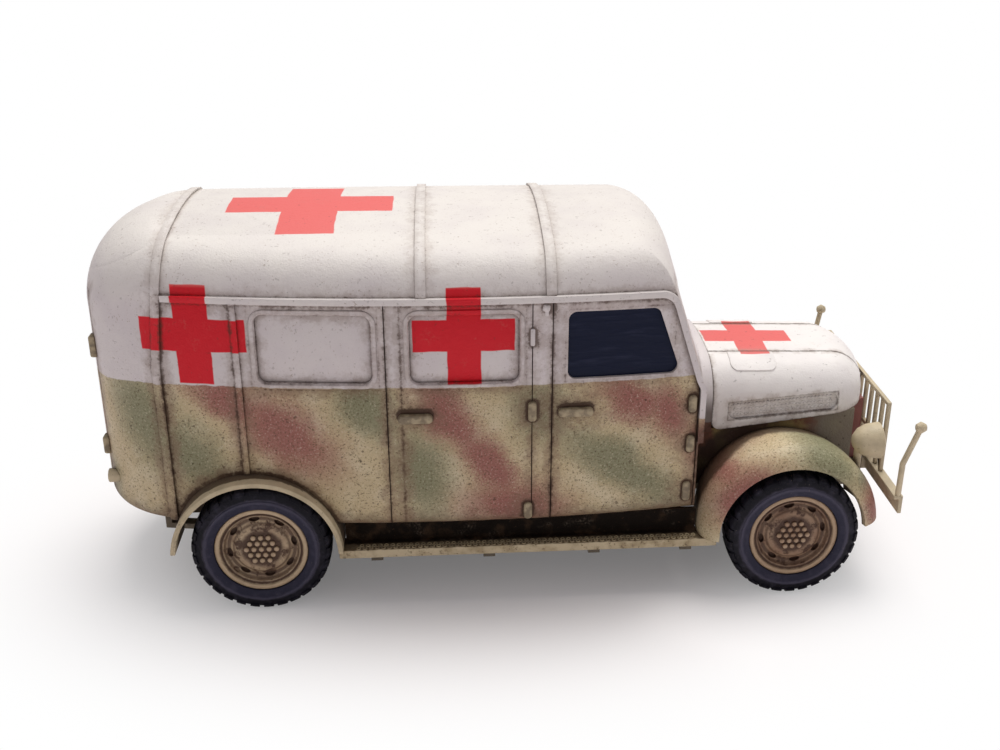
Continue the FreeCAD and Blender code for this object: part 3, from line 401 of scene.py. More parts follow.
def belt(s):
    """Height of the foot of the white paint, which is lower on the cowl and at the tail."""
    return 20.15 - s.smooth(s.x, 36.55, 36.6) * 6.3 - s.smooth(s.x, -8.5, -13.8) * 0.75


def body_paint(name, foot=None):
    """White above a height over camouflage; without a height, the belt line and stains in the joints."""
    p = paints()
    s = Surface(name)
    line = belt(s) if foot is None else foot
    above = s.smooth(s.z - line + s.wander(0.25, 1.4), -0.06, 0.06)
    # painted shade: the white turns lilac grey (0.65, 0.60, 0.61) down the sides below the roof, mixed with
    # random patches of tone
    shade = (s.patches(0.35, 0.75, 0.3, 3.0) * 0.3 + s.smooth(s.z, 31.0, 28.0) * 0.4
             + s.smooth(s.z, 27.6, 26.4) * 0.3)
    freckles = s.patches(0.63, 0.70, 4.5, 2.0, 0.6) * (s.patches(0.45, 0.6, 0.6) * 0.4 + 0.15)
    white = s.blend(s.blend(p.white, (0.65, 0.60, 0.61), shade), (0.34, 0.27, 0.21), freckles)
    camouflage(s)
    s.paint(white, above)
    # darker towards the foot of the sides and on the cowl below the bonnet's edge, laid in the wash colour
    low = s.smooth(s.z + s.wander(2.0, 1.6), 9.4, 7.5) * 0.58
    cowl_foot = s.smooth(s.x, 36.4, 36.7) * s.smooth(s.z, 17.0, 14.6) * 0.75
    s.paint(p.wash, low.most(cowl_foot))
    if foot is None:
        core, haze = stains(s)
        s.paint((0.21, 0.125, 0.08), haze * (0.6 - above * 0.2) * (1 - s.smooth(s.z, 27.6, 28.4) * 0.4))
    s.paint(red_paint(s), crosses(s) * s.smooth(s.z, 14.8, 15.0))
    if foot is None:
        s.paint((0.065, 0.032, 0.018), core * (0.92 - above * 0.15))
    seam = weathered(s, specks=1 - above * 0.6, wash=1 - above * 0.45)
    return s.finish(0.52 + seam * 0.2 + s.wander(0.2, 6.0), s.brushed(), 0.07, 0.3)


def wing_paint():
    """Camouflage on the front wings, with dark brown painted shade on their inboard side where they meet the
    bonnet.
    """
    s = Surface("wing_paint")
    camouflage(s)
    # painted shade: dark brown on the inboard side of the wing, wider towards its rear
    rear = s.smooth(s.x, 42.5, 38.5) * 1.7
    inner = s.smooth(abs(s.y) - rear + s.wander(1.0, 1.2, 3.0), 9.2, 8.3)
    s.paint(DEEP_WASH_AND_SHADE, inner * 0.85)
    return s.finish(0.52 + weathered(s, specks=0.7) * 0.2, s.brushed(), 0.08, 0.3)


def valance_paint():
    """Dark red brown paint, darkened as painted shade under the bonnet, with ochre and grey patches and near
    black painted shade where it meets the wing.
    """
    s = Surface("valance_paint", (0.20, 0.080, 0.045))
    patch = s.noise(0.55, 3.0)
    s.paint((0.38, 0.27, 0.10), s.smooth(patch, 0.46, 0.66))
    s.paint((0.26, 0.24, 0.19), s.smooth(s.x + (patch - 0.5) * 3.0, 47.0, 49.0) * 0.85)
    # painted shade: near black towards the wheel arch at the rear, where the valance meets the wing
    wing_shade = s.smooth(from_axle(s) + s.wander(1.6, 1.4, 3.0), 9.6, 8.3) * s.smooth(s.x, 46.0, 42.0)
    s.paint((0.03, 0.016, 0.010), wing_shade * 0.9)
    return s.finish(0.6 + weathered(s) * 0.15, s.noise(6.0, 3.0), 0.06, 0.3)


def plain_paint(name, base, reach=0.7, grime=0.0):
    """Brushed plain paint with wash in the seams, and grime of that strength."""
    s = Surface(name, base)
    s.paint([c * 0.72 for c in base], s.patches(0.3, 0.7, 0.9, 3.0) * 0.6)
    if grime:
        s.paint(paints().wash, s.patches(0.38, 0.62, 1.5, 4.0) * grime)
    seam = weathered(s, specks=0.6, reach=reach)
    height = s.noise(8.0, 3.0) * 0.4 + s.noise(1.6, 2.0) * 0.6
    return s.finish(0.55 + seam * 0.2 + s.wander(0.15, 5.0), height, 0.05)


def pane_paint():
    """Dark semi-gloss paint with brush marks."""
    s = Surface("navy_window_paint", paints().navy)
    strokes = s.noise(0.8, 4.0, place=s.vector(s.x * 0.3, s.y * 2.0, s.z * 2.5))
    s.paint((0.022, 0.027, 0.055), s.smooth(strokes, 0.5, 0.85))
    return s.finish(0.30 + s.smooth(strokes, 0.3, 0.8) * 0.25, strokes, 0.08, 0.12)


# louvre panel on the side of the bonnet: station and height of its middle, and how it rises forwards
LOUVRE_MIDDLE, LOUVRE_RISE = (45.1, 15.1), 4.6
HINGE_LINE, BONNET_REAR, BONNET_FOOT = 3.37, 38.74, 12.9


def bonnet_paint():
    """White paint, lighter than the body's white as painted light, with dark lines along the bonnet's hinges
    and edges, and rust in its louvre panels.
    """
    # painted light: the bonnet's white is a lighter copy of the body's white
    s = Surface("bonnet_paint", (0.89, 0.86, 0.835))
    s.paint((0.80, 0.76, 0.755), s.patches(0.35, 0.75, 0.3, 3.0) * 0.5)
    s.paint(red_paint(s), crosses(s))
    x, z = LOUVRE_MIDDLE
    level = abs(s.z - (s.x - x) * 0.0804 - z)
    louvre = (abs(s.x - x) - 4.9).most(level - 0.85) + s.smooth(abs(s.y), 6.2, 5.8) * OFF
    rows = abs(level - 0.23) + louvre.most(0.0) * OFF + 0.13
    foot = BONNET_FOOT + (s.x - 38.7) * 0.12
    lines = reduce(Value.least, (abs(abs(s.y) - HINGE_LINE), abs(s.x - BONNET_REAR), abs(s.z - foot) + 0.06,
                                 abs(louvre) + 0.07))
    ragged = s.wander(0.3, 3.0, 3.0, 0.7)
    core = s.smooth(lines.least(rows) + ragged, 0.20, 0.02)
    haze = s.smooth(lines + ragged * 2.5, 0.7, 0.0) * s.patches(0.4, 0.6, 0.7)
    inside = s.smooth(louvre, 0.05, -0.1) * (s.patches(0.35, 0.65, 1.6, 3.0) * 0.5 + 0.3)
    s.paint((0.35, 0.27, 0.22), haze * 0.5)
    s.paint((0.34, 0.26, 0.21), inside * 0.35)
    s.paint((0.12, 0.085, 0.06), core * 0.75)
    seam = weathered(s, specks=0.45, wash=0.7)
    return s.finish(0.5 + seam * 0.2 + s.wander(0.2, 6.0), s.brushed(), 0.06, 0.3)


def guard_paint():
    """Khaki on the rear mudguards, with dark wash where they meet the side."""
    s = Surface("guard_paint", paints().khaki)
    s.paint((0.41, 0.34, 0.22), s.patches(0.35, 0.7, 0.9, 3.0) * 0.6)
    s.paint(DEEP_WASH_AND_SHADE, s.smooth(abs(s.y) + s.wander(0.4, 1.6, 3.0), 12.22, 12.05) * 0.85)
    return s.finish(0.55 + weathered(s) * 0.2, s.noise(6.0, 3.0), 0.06, 0.3)


def board_paint():
    """Worn khaki on the running boards, darker brown across the tread, and near black painted shadow under
    the sill.
    """
    s = Surface("board_paint", paints().khaki)
    s.paint((0.40, 0.32, 0.20), s.patches(0.4, 0.7, 0.9, 3.0))
    s.paint(paints().wash, s.patches(0.55, 0.7, 1.8, 3.0, 0.7) * 0.6)
    inwards = abs(s.y) + s.wander(0.5, 1.5, 3.0)
    # darker brown across the tread inboard of its outer edge
    s.paint((0.075, 0.05, 0.025), s.smooth(inwards, 12.62, 12.45) * s.smooth(s.z, 5.3, 5.38) * 0.85)
    # painted shadow: near black under the sill, on the inboard edge and the apron
    sill_shadow = s.blend((0.008, 0.005, 0.003), (0.045, 0.026, 0.014), s.patches(0.5, 0.75, 0.7, 3.0))
    s.paint(sill_shadow, s.smooth(inwards, 11.8, 11.3))
    return s.finish(0.65 + weathered(s) * 0.15, s.noise(6.0, 3.0), 0.06, 0.1)


def front_half(s):
    """0 round the rear wheels and 1 round the front wheels."""
    return s.smooth(s.x, 22.0, 23.0)


def from_axle(s):
    """Distance from the axle of the nearer wheel in the side view."""
    return s.from_point(front_half(s) * WHEELBASE, AXLE_HEIGHT)


def rubber():
    """Matt dark rubber with a paler side wall, a worn ring, dust in the tread and near black painted shade in
    its grooves and corners.
    """
    s = Surface("tyre_rubber", bpy.context.scene.ambulance_wheels.rubber)
    radius = from_axle(s)
    ring = s.smooth(abs(radius - 4.66) + s.wander(0.3, 1.5, 3.0), 0.3, 0.05)
    worn = (s.patches(0.45, 0.8, 1.3, 4.0) * 0.35).most(ring * 0.75)
    s.paint((0.024, 0.024, 0.046), s.smooth(radius, 4.75, 4.68))
    s.paint((0.080, 0.075, 0.110), worn)
    s.paint((0.30, 0.25, 0.20), s.patches(0.66, 0.80, 6.0, 3.0) * 0.35)
    # painted shade: near black where ambient occlusion finds grooves and corners
    s.paint((0.004, 0.004, 0.006), s.smooth(s.recess(0.35), 0.35, 0.8) * 0.8)
    return s.finish(0.60 + worn * 0.2, s.noise(5.0, 4.0), 0.03, 0.22)


def wheel_metal():
    """Khaki wheel paint under a heavy brown wash, with near black painted shade deep inside the disc and its
    holes.
    """
    s = Surface("wheel_paint", bpy.context.scene.ambulance_wheels.metal)
    radius, front = from_axle(s), front_half(s)
    s.paint((0.60, 0.47, 0.30), s.patches(0.4, 0.7, 1.2, 3.0) * 0.6)
    s.paint((0.34, 0.21, 0.13), front * 0.5)
    brown = s.patches(0.3, 0.7, 0.8, 3.0) * 0.4 + front * 0.35
    s.paint((0.20, 0.095, 0.05), s.smooth(radius, 3.4, 3.2) * brown)
    sunk = 12.9 + front * 0.7 - abs(s.y)
    ragged = s.wander(0.5, 2.2, 3.0, 0.7)

    def ring(reach, rough, low, high):
        return s.smooth(abs(radius - reach) + ragged * rough, low, high)

    pool = s.smooth(sunk + ragged * 0.5, 0.36, 0.60) * s.smooth(radius, 3.42, 3.34)
    nuts = s.smooth(sunk, 0.42, 0.53) * s.smooth(radius + ragged, 2.0, 1.5)
    edge = ring(2.30, 0.4, 0.2, 0.0).most(ring(3.02, 0.4, 0.2, 0.0))
    # wash in the sunk rings, round the nuts and at the rims, and near black painted shade deeper than the
    # disc's face, inside it and through its holes
    wash_and_painted_shade = reduce(Value.most, (
        pool * (s.patches(0.46, 0.62, 1.0, 4.0, 0.65) * 0.9 + 0.08), ring(3.30, 0.3, 0.2, 0.05) * 0.95,
        nuts * 0.95, edge * 0.7, s.smooth(sunk, 0.85, 0.95), ring(3.85, 0.3, 0.14, 0.0) * 0.7))
    s.paint((0.06, 0.026, 0.014), wash_and_painted_shade.most(0.0).least(0.94))
    tips = s.smooth(sunk, 0.42, 0.34) * s.smooth(radius, 1.9, 1.7)
    s.paint((0.52, 0.38, 0.25), tips * (s.patches(0.35, 0.6, 1.1) * 0.65 + 0.1))
    return s.finish(0.45 + wash_and_painted_shade * 0.2, s.noise(6.0, 3.0), 0.05)


def make_materials():
    """All finishes by name."""
    p = paints()
    return {
        "body": body_paint("body_paint"),
        "wing": wing_paint(),
        "rail": body_paint("rail_paint", foot=16.3),
        "white": body_paint("white_paint", foot=-60.0),
        "bonnet": bonnet_paint(),
        "valance": valance_paint(),
        "khaki": plain_paint("khaki_paint", p.khaki),
        "board": board_paint(),
        "fitting": plain_paint("fitting_paint", (0.42, 0.345, 0.22), reach=0.5, grime=0.55),
        "dimple": plain_paint("dimple_paint", (0.46, 0.37, 0.22), reach=0.5, grime=0.5),
        "bracket": plain_paint("bracket_paint", (0.12, 0.10, 0.07)),
        "guard": guard_paint(),
        "chassis": plain_paint("chassis_paint", [c * 0.45 for c in p.khaki], reach=2.5, grime=0.6),
        "grille": plain_paint("grille_paint", p.brown, reach=0.8),
        "pane": pane_paint(),
        "rubber": rubber(),
        "wheel": wheel_metal(),
    }


MATERIALS = {}


# ---- modelling helpers ----
def nothing_selected():
    """Object mode with nothing selected."""
    if bpy.context.mode != "OBJECT":
        bpy.ops.object.mode_set(mode="OBJECT")
    bpy.ops.object.select_all(action="DESELECT")


def only(piece):
    """Selects one object alone, in object mode."""
    nothing_selected()
    piece.select_set(True)
    bpy.context.view_layer.objects.active = piece


def modified(piece, kind, **settings):
    """Adds a modifier to the piece and applies it."""
    only(piece)
    modifier = piece.modifiers.new(kind.lower(), kind)
    for key, value in settings.items():
        setattr(modifier, key, value)
    bpy.ops.object.modifier_apply(modifier=modifier.name)


def bevelled(piece, width, segments, angle=30):
    """Rounds the edges that are sharper than angle, in degrees."""
    modified(piece, "BEVEL", width=width, segments=segments, limit_method="ANGLE", angle_limit=radians(angle))


def repeated(piece, count, step):
    """Copies the piece in a row."""
    modified(piece, "ARRAY", count=count, use_relative_offset=False, use_constant_offset=True,
             constant_offset_displace=step)


def edited(piece, work):
    """Runs work in edit mode with the whole mesh selected."""
    only(piece)
    bpy.ops.object.mode_set(mode="EDIT")
    bpy.ops.mesh.select_all(action="SELECT")
    work()
    bpy.ops.object.mode_set(mode="OBJECT")


def select_parts(piece, kind, wanted):
    """Selects, in edit mode, the faces or edges for which wanted(face or edge) is true."""
    only(piece)
    bpy.ops.object.mode_set(mode="EDIT")
    bpy.ops.mesh.select_mode(type=kind)
    bpy.ops.mesh.select_all(action="DESELECT")
    bpy.ops.object.mode_set(mode="OBJECT")
    for part in piece.data.polygons if kind == "FACE" else piece.data.edges:
        part.select = wanted(part)
    bpy.ops.object.mode_set(mode="EDIT")


def joined(pieces):
    """One object made of several."""
    only(pieces[0])
    for piece in pieces[1:]:
        piece.select_set(True)
    bpy.ops.object.join()
    return bpy.context.active_object


def applied(piece):
    """Puts the object's place, turn and scale in its mesh."""
    only(piece)
    bpy.ops.object.transform_apply(location=True, rotation=True, scale=True)
    return piece


def primitive(kind, scale=(1, 1, 1), **settings):
    """New mesh of a basic kind, with its place, turn and scale in the mesh."""
    nothing_selected()
    getattr(bpy.ops.mesh, "primitive_%s_add" % kind)(**settings)
    piece = bpy.context.active_object
    piece.scale = scale
    return applied(piece)


def settle(piece, name, finish, body="truck", stands_for=(), angle=32):
    """Names a finished piece, gives it its finish and hands it to its body."""
    applied(piece)
    bpy.ops.object.shade_smooth_by_angle(angle=radians(angle))
    piece.name = piece.data.name = name
    piece.data.materials.clear()
    piece.data.materials.append(MATERIALS[finish])
    if stands_for:
        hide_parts(*stands_for)
    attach(piece, body)
    return piece


def bar(start, end, radius):
    """Round bar between two points with rounded ends."""
    way = end - start
    piece = primitive("cylinder", vertices=10, radius=radius, depth=way.length, location=(start + end) / 2,
                      rotation=way.to_track_quat("Z", "Y").to_euler())
    bevelled(piece, radius * 0.5, 3, 60)
    return piece


def turned(profile, centre, steps, side):
    """Closed turning about the wheel axis; profile points are (radius, distance outwards) in millimetres."""
    piece = primitive("plane", size=MM)
    points = [Vector((radius * MM, side * out * MM, 0)) for radius, out in profile]

    def spin():
        bpy.ops.mesh.select_mode(type="VERT")
        bpy.ops.mesh.merge(type="CENTER")
        bpy.ops.transform.translate(value=points[0])
        for last, here in zip(points, points[1:]):
            bpy.ops.mesh.extrude_region_move(TRANSFORM_OT_translate={"value": here - last})
        bpy.ops.mesh.select_all(action="SELECT")
        bpy.ops.mesh.spin(steps=steps, angle=2 * pi, center=(0, 0, 0), axis=(0, 1, 0), use_normal_flip=False)
        bpy.ops.mesh.select_all(action="SELECT")
        bpy.ops.mesh.remove_doubles(threshold=MM * 0.004)
        bpy.ops.mesh.normals_make_consistent(inside=False)

    edited(piece, spin)
    piece.location = centre
    return applied(piece)


def soft_copy(node, finish):
    """Copy of a cast part with rounded edges that stands for it."""
    edge = bpy.context.scene.ambulance_trim.edge
    name = node + "_cast"
    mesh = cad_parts[node].data.copy()
    piece = bpy.data.objects.new(name, mesh)
    bpy.context.scene.collection.objects.link(piece)
    only(piece)
    if mesh.has_custom_normals:
        bpy.ops.mesh.customdata_custom_splitnormals_clear()

    def clean():
        bpy.ops.mesh.remove_doubles(threshold=MM * 0.002)
        bpy.ops.mesh.dissolve_limited(angle_limit=radians(0.4))

    edited(piece, clean)
    if edge:
        bevelled(piece, edge, 2, 34)
    return settle(piece, name, finish, "truck", (node,), angle=38)


# ---- stage ----
CAMERA_PLACE = at(15.48, -100.35, 59.61)
CAMERA_YAW, CAMERA_PITCH, CAMERA_ROLL = 0.093, 0.403, -0.014
CAMERA_LENS, CAMERA_SHIFT, SENSOR_WIDTH = 43.29, (-0.0469, -0.0105), 36.0
FLOOR_SIZE = 6
FADE_FROM, FADE_TO, FADE_LEAST = 12.0, 34.0, 0.13
PLAIN_WHITE = (1, 1, 1, 1)
LAMP_TARGET = Vector((0, 0, 0.012))
# lamps: place, edge of the square, share of the key lamp's power, colour
LAMPS = (
    ("key_lamp", (0.06, 0.13, 0.45), 0.30, 1.0, (1.0, 0.975, 0.94)),
    ("side_lamp", (-0.05, -0.40, 0.16), 0.40, 0.03, (0.97, 0.95, 1.0)),
)


def camera():
    """Camera that looks down at the right side."""
    data = bpy.data.cameras.new("camera")
    data.lens, data.sensor_width = CAMERA_LENS, SENSOR_WIDTH
    data.shift_x, data.shift_y = CAMERA_SHIFT
    data.clip_start, data.clip_end = 0.002, 20.0
    piece = bpy.data.objects.new("camera", data)
    bpy.context.scene.collection.objects.link(piece)
    level = cos(CAMERA_PITCH)
    ahead = Vector((sin(CAMERA_YAW) * level, cos(CAMERA_YAW) * level, -sin(CAMERA_PITCH)))
    right = Vector((cos(CAMERA_YAW), -sin(CAMERA_YAW), 0))
    down = ahead.cross(right)
    across = cos(CAMERA_ROLL) * right + sin(CAMERA_ROLL) * down
    under = -sin(CAMERA_ROLL) * right + cos(CAMERA_ROLL) * down
    turn = Matrix((across, -under, -ahead)).transposed()
    piece.matrix_world = Matrix.Translation(CAMERA_PLACE) @ turn.to_4x4()
    bpy.context.scene.camera = piece


def lamp(name, place, extent, power, tint):
    """Square area lamp that faces the model."""
    data = bpy.data.lights.new(name, "AREA")
    data.size, data.energy, data.color = extent, power, tint
    piece = bpy.data.objects.new(name, data)
    bpy.context.scene.collection.objects.link(piece)
    turn = (LAMP_TARGET - place).to_track_quat("-Z", "Y").to_matrix().to_4x4()
    piece.matrix_world = Matrix.Translation(place) @ turn


def floor_material(settings):
    """Pale paper that fades to plain white away from the model."""
    s = Surface("floor_paper")
    s.fill(s.shader, {"Base Color": rgba(settings.floor), "Roughness": 0.9, "Specular IOR Level": 0.1})
    reach = s.length(s.vector((s.x + REAR_AXLE / MM) * 0.6, s.y, s.z))
    fade = s.smooth(reach, FADE_FROM, FADE_TO) * (1 - FADE_LEAST) + FADE_LEAST
    seen = fade * s.add("LightPath", out="Is Camera Ray")
    s.show("Material Output", seen, Value(s, s.shader.outputs[0]), s.add("Emission", {"Color": PLAIN_WHITE}))
    return s.material


def sky(settings):
    """Even light all around; white where the camera sees it directly."""
    world = bpy.context.scene.world = bpy.data.worlds.new("soft_light")
    nodes = Nodes(world)
    light = nodes.tree.nodes["Background"]
    nodes.fill(light, {"Color": (1.0, 0.955, 0.985, 1), "Strength": settings.ambient})
    white = nodes.add("Background", {"Color": PLAIN_WHITE, "Strength": 1.0})
    seen = nodes.add("LightPath", out="Is Camera Ray")
    nodes.show("World Output", seen, Value(nodes, light.outputs[0]), white)


class AMBULANCE_OT_stage(bpy.types.Operator):
    """Lay the floor and place the lamps and the camera"""

    bl_idname = "ambulance.stage"
    bl_label = "Stage"

    def execute(self, context):
        settings = context.scene.ambulance_stage
        floor = primitive("plane", size=FLOOR_SIZE)
        floor.name = floor.data.name = "floor_sheet"
        floor.data.materials.append(floor_material(settings))
        sky(settings)
        for name, place, extent, share, tint in LAMPS:
            lamp(name, Vector(place), extent, settings.key * share, tint)
        context.scene.view_settings.view_transform = "Standard"
        camera()
        return {"FINISHED"}


# ---- cast body ----
# finish and slot of cast parts; a * stands for left and then right
PANELS = (
    ("body", "white", ("roof_rear", "roof_cab", "tail_roof_cap")),
    ("body", "camouflage", ("tail_body", "rear_door_*", "body_side_*", "side_door_*", "cab_door_*",
                            "scuttle")),
    ("body", "white", ("windscreen_frame",)),
    ("bonnet", "white", ("bonnet_centre", "bonnet_side_*")),
    ("body", "white", ("scuttle_band",)),
    ("valance", "camouflage", ("bonnet_valance_*",)),
    ("wing", "camouflage", ("front_wing_*",)),
    ("body", "camouflage", ("body_beads",)),
    ("rail", "white", ("drip_rails",)),
    ("body", "white", ("side_window_panels",)),
)
FITTINGS = (
    ("guard", "khaki", ("rear_mudguard_*",)),
    ("khaki", "khaki", ("front_bumper", "brush_guard", "marker_rods", "headlamps", "tail_lamps")),
    ("grille", "camouflage", ("radiator_grille",)),
    ("board", "khaki", ("running_board_*",)),
)
# parts that keep their own mesh, by finish
KEPT = (
    ("chassis", ("frame_rails", "cross_members", "floor", "front_axle", "rear_axle", "leaf_springs_front",
                 "leaf_springs_rear", "gearbox_and_shaft", "engine_block", "exhaust")),
    ("bracket", ("board_brackets",)),
    ("pane", ("cab_door_panes", "windscreen_panes", "rear_door_panes")),
)


def soft_copies(table):
    """Soft copies of all cast parts in a table."""
    for finish, slot, nodes in table:
        for node in nodes:
            for name in dict.fromkeys(node.replace("*", side) for side, _ in SIDES):
                soft_copy(name, finish)


class AMBULANCE_OT_body(bpy.types.Operator):
    """Cast body panels with softened edges, painted white over camouflage"""

    bl_idname = "ambulance.body"
    bl_label = "Body"

    def execute(self, context):
        soft_copies(PANELS)
        return {"FINISHED"}


class AMBULANCE_OT_fittings(bpy.types.Operator):
    """Bumper, guard, lamps, mudguards and boards with softened edges, and paint on the rest"""

    bl_idname = "ambulance.fittings"
    bl_label = "Fittings"

    def execute(self, context):
        soft_copies(FITTINGS)
        for finish, nodes in KEPT:
            for node in nodes:
                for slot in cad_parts[node].material_slots:
                    slot.material = MATERIALS[finish]
        return {"FINISHED"}


# ---- wheels ----
# outlines of half a tyre's and a disc's section: radius, distance outwards from the tyre's outer face
TYRE_PROFILE = (
    (3.85, -0.55), (3.9, -0.22), (4.05, -0.10), (4.35, -0.03), (4.62, 0.0), (4.70, -0.04), (4.74, -0.13),
    (5.0, -0.18), (5.3, -0.26), (5.5, -0.38), (5.6, -0.56), (5.62, -0.95), (5.64, -1.55), (5.62, -2.15),
    (5.6, -2.54), (5.5, -2.72), (5.2, -2.86), (4.6, -3.0), (4.1, -3.06), (3.88, -2.9), (3.85, -2.6),
    (3.85, -0.55),
)
DISC_PROFILE = (
    (0.0, -0.54), (0.62, -0.54), (1.05, -0.56), (1.75, -0.60), (2.10, -0.62), (2.30, -0.74), (2.46, -0.86),
    (2.62, -0.92), (2.82, -0.92), (2.96, -0.84), (3.06, -0.66), (3.12, -0.50), (3.24, -0.46), (3.30, -0.52),
    (3.36, -0.52), (3.42, -0.42), (3.50, -0.32), (3.66, -0.30), (3.76, -0.34), (3.80, -0.30), (3.84, -0.34),
    (3.85, -0.46), (3.85, -2.8), (3.5, -2.8), (3.3, -2.5), (3.1, -1.4), (1.25, -1.35), (1.25, -2.78),
    (0.72, -2.78), (0.72, -1.05), (0.0, -1.02),
)
DISC_STEPS = 96
TYRE_RADIUS, TYRE_WIDTH, SHOULDER = 5.8, 3.1, 5.32
NUT_PITCH, NUT_OUT, NUT_DEPTH, ROW_RISE = 0.62, -0.52, 0.42, 0.87
VENTS, VENT_RADIUS, VENT_OUT, FIRST_VENT = 8, 2.70, -0.9, 10


def is_lug(polygon, lugs, side):
    """True for the tread faces from which lugs rise."""
    middle = polygon.center
    if Vector((middle.x, middle.z)).length < SHOULDER * MM or abs(polygon.normal.y) > 0.9:
        return False
    turn = (atan2(middle.z, middle.x) / (2 * pi)) % 1.0
    step = turn * lugs * 3 + (0 if middle.y * side > -TYRE_WIDTH / 2 * MM else 1.5)
    return int(step) % 3 != 0


def tyre(name, centre, side, body, node):
    """Tyre with a stepped side wall and raised shoulder lugs."""
    wheels = bpy.context.scene.ambulance_wheels
    piece = turned(TYRE_PROFILE, Vector((0, 0, 0)), wheels.lugs * 3, side)
    select_parts(piece, "FACE", lambda polygon: is_lug(polygon, wheels.lugs, side))
    bpy.ops.mesh.extrude_region_shrink_fatten(TRANSFORM_OT_shrink_fatten={"value": wheels.lug_height})
    bpy.ops.object.mode_set(mode="OBJECT")
    for vertex in piece.data.vertices:
        point = vertex.co
        radius = (point.x ** 2 + point.z ** 2) ** 0.5
        if radius > TYRE_RADIUS * MM:
            point.x *= TYRE_RADIUS * MM / radius
            point.z *= TYRE_RADIUS * MM / radius
        point.y = side * max(min(point.y * side, 0), -TYRE_WIDTH * MM)
    piece.location = centre
    return settle(piece, name, "rubber", body, (node,), angle=26)


def nut(centre, side, radius):
    """Moulded wheel nut with a domed top."""
    piece = primitive("cylinder", vertices=6, radius=radius, depth=NUT_DEPTH * MM, rotation=(pi / 2, 0, 0),
                      location=centre + Vector((0, side * NUT_OUT * MM, 0)))
    bevelled(piece, radius * 0.42, 2, 40)
    return piece


def vent(centre, turn, side):
    """Oval cutter for a hole in the wheel disc."""
    piece = primitive("cylinder", vertices=16, radius=0.5 * MM, depth=0.7 * MM, rotation=(pi / 2, 0, 0))
    piece.scale = (0.46, 1, 0.92)
    applied(piece)
    piece.rotation_euler = (0, -turn, 0)
    piece.location = centre + MM * Vector((cos(turn) * VENT_RADIUS, side * VENT_OUT, sin(turn) * VENT_RADIUS))
    return applied(piece)


def wheel(name, centre, side, body, node):
    """Pressed wheel disc with a cluster of nuts and oval holes."""
    disc = turned(DISC_PROFILE, centre, DISC_STEPS, side)
    turns = [radians(FIRST_VENT) + 2 * pi * i / VENTS for i in range(VENTS)]
    cutter = joined([vent(centre, turn, side) for turn in turns])
    modified(disc, "BOOLEAN", operation="DIFFERENCE", solver="EXACT", object=cutter)
    bpy.data.objects.remove(cutter)
    parts = [disc]
    for row in range(-2, 3):
        for step in range(5 - abs(row)):
            across = (step - (4 - abs(row)) / 2) * NUT_PITCH
            place = centre + Vector((across * MM, 0, row * NUT_PITCH * ROW_RISE * MM))
            parts.append(nut(place, side, bpy.context.scene.ambulance_wheels.nut_radius))
    return settle(joined(parts), name, "wheel", body, (node,), angle=35)


class AMBULANCE_OT_wheels(bpy.types.Operator):
    """Four tyres with tread lugs and four pressed wheels"""

    bl_idname = "ambulance.wheels"
    bl_label = "Wheels"

    def execute(self, context):
        for corner, side in ((end + "_" + name, side) for end in ("front", "rear") for name, side in SIDES):
            low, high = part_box("tyre_" + corner)
            centre = (low + high) / 2
            centre.y = high.y if side > 0 else low.y
            body = "wheel_%s_body" % corner
            tyre("tyre_%s_tread" % corner, centre, side, body, "tyre_" + corner)
            wheel("wheel_%s_disc" % corner, centre, side, body, "wheel_" + corner)
        return {"FINISHED"}


# ---- window frames and bonnet trim ----
RIM_CLEAR, RIM_CORNER = 0.06, 0.75
LOUVRE_LENGTH, LOUVRE_ROWS, LOUVRE_STUDS, LOUVRE_PITCH, LOUVRE_OUT = 8.6, 3, 27, 0.46, 6.6
# small lid on the bonnet's shoulder: rear edge, front edge, inner edge, outer edge
SHOULDER_LID = (40.5, 44.6, 3.55, 5.8)


def hugging(piece, target, down=False):
    """Lays a flat piece on the side of the body, or down onto its top."""
    modified(piece, "SHRINKWRAP", target=target, wrap_method="PROJECT", use_project_x=False,
             use_project_y=not down, use_project_z=down, use_negative_direction=True,
             use_positive_direction=True)


def window_rim(name, span, side, target):
    """Raised frame around a side window."""
    trim = bpy.context.scene.ambulance_trim
    out = trim.rim_width / MM + RIM_CLEAR
    x0, x1, z0, z1 = (edge + out * way for edge, way in zip(span, (-1, 1, -1, 1)))
    piece = primitive("plane", ((x1 - x0) * MM, (z1 - z0) * MM, 1), size=1, rotation=(-side * pi / 2, 0, 0),
                      location=at((x0 + x1) / 2, side * 16, (z0 + z1) / 2))
    edited(piece, lambda: bpy.ops.mesh.bevel(offset=(RIM_CORNER + out) * MM, segments=5, affect="VERTICES"))

    def ring():
        bpy.ops.mesh.inset(thickness=trim.rim_width)
        bpy.ops.mesh.delete(type="FACE")
        bpy.ops.mesh.select_all(action="SELECT")
        bpy.ops.mesh.subdivide(number_cuts=3)

    edited(piece, ring)
    hugging(piece, target)
    edited(piece, lambda: bpy.ops.mesh.normals_make_consistent(inside=False))
    modified(piece, "SOLIDIFY", thickness=trim.rim_height * 2, offset=0.0)
    bevelled(piece, trim.rim_height * 0.7, 3, 50)
    return settle(piece, name, "body")


class AMBULANCE_OT_window_frames(bpy.types.Operator):
    """Raised frames around the four side windows"""

    bl_idname = "ambulance.window_frames"
    bl_label = "Window frames"

    def execute(self, context):
        for name, side in SIDES:
            for number, (span, node) in enumerate(zip(WINDOWS, ("body_side_", "side_door_")), 1):
                window_rim("window_frame_%d_%s" % (number, name), span, side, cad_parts[node + name])
        return {"FINISHED"}


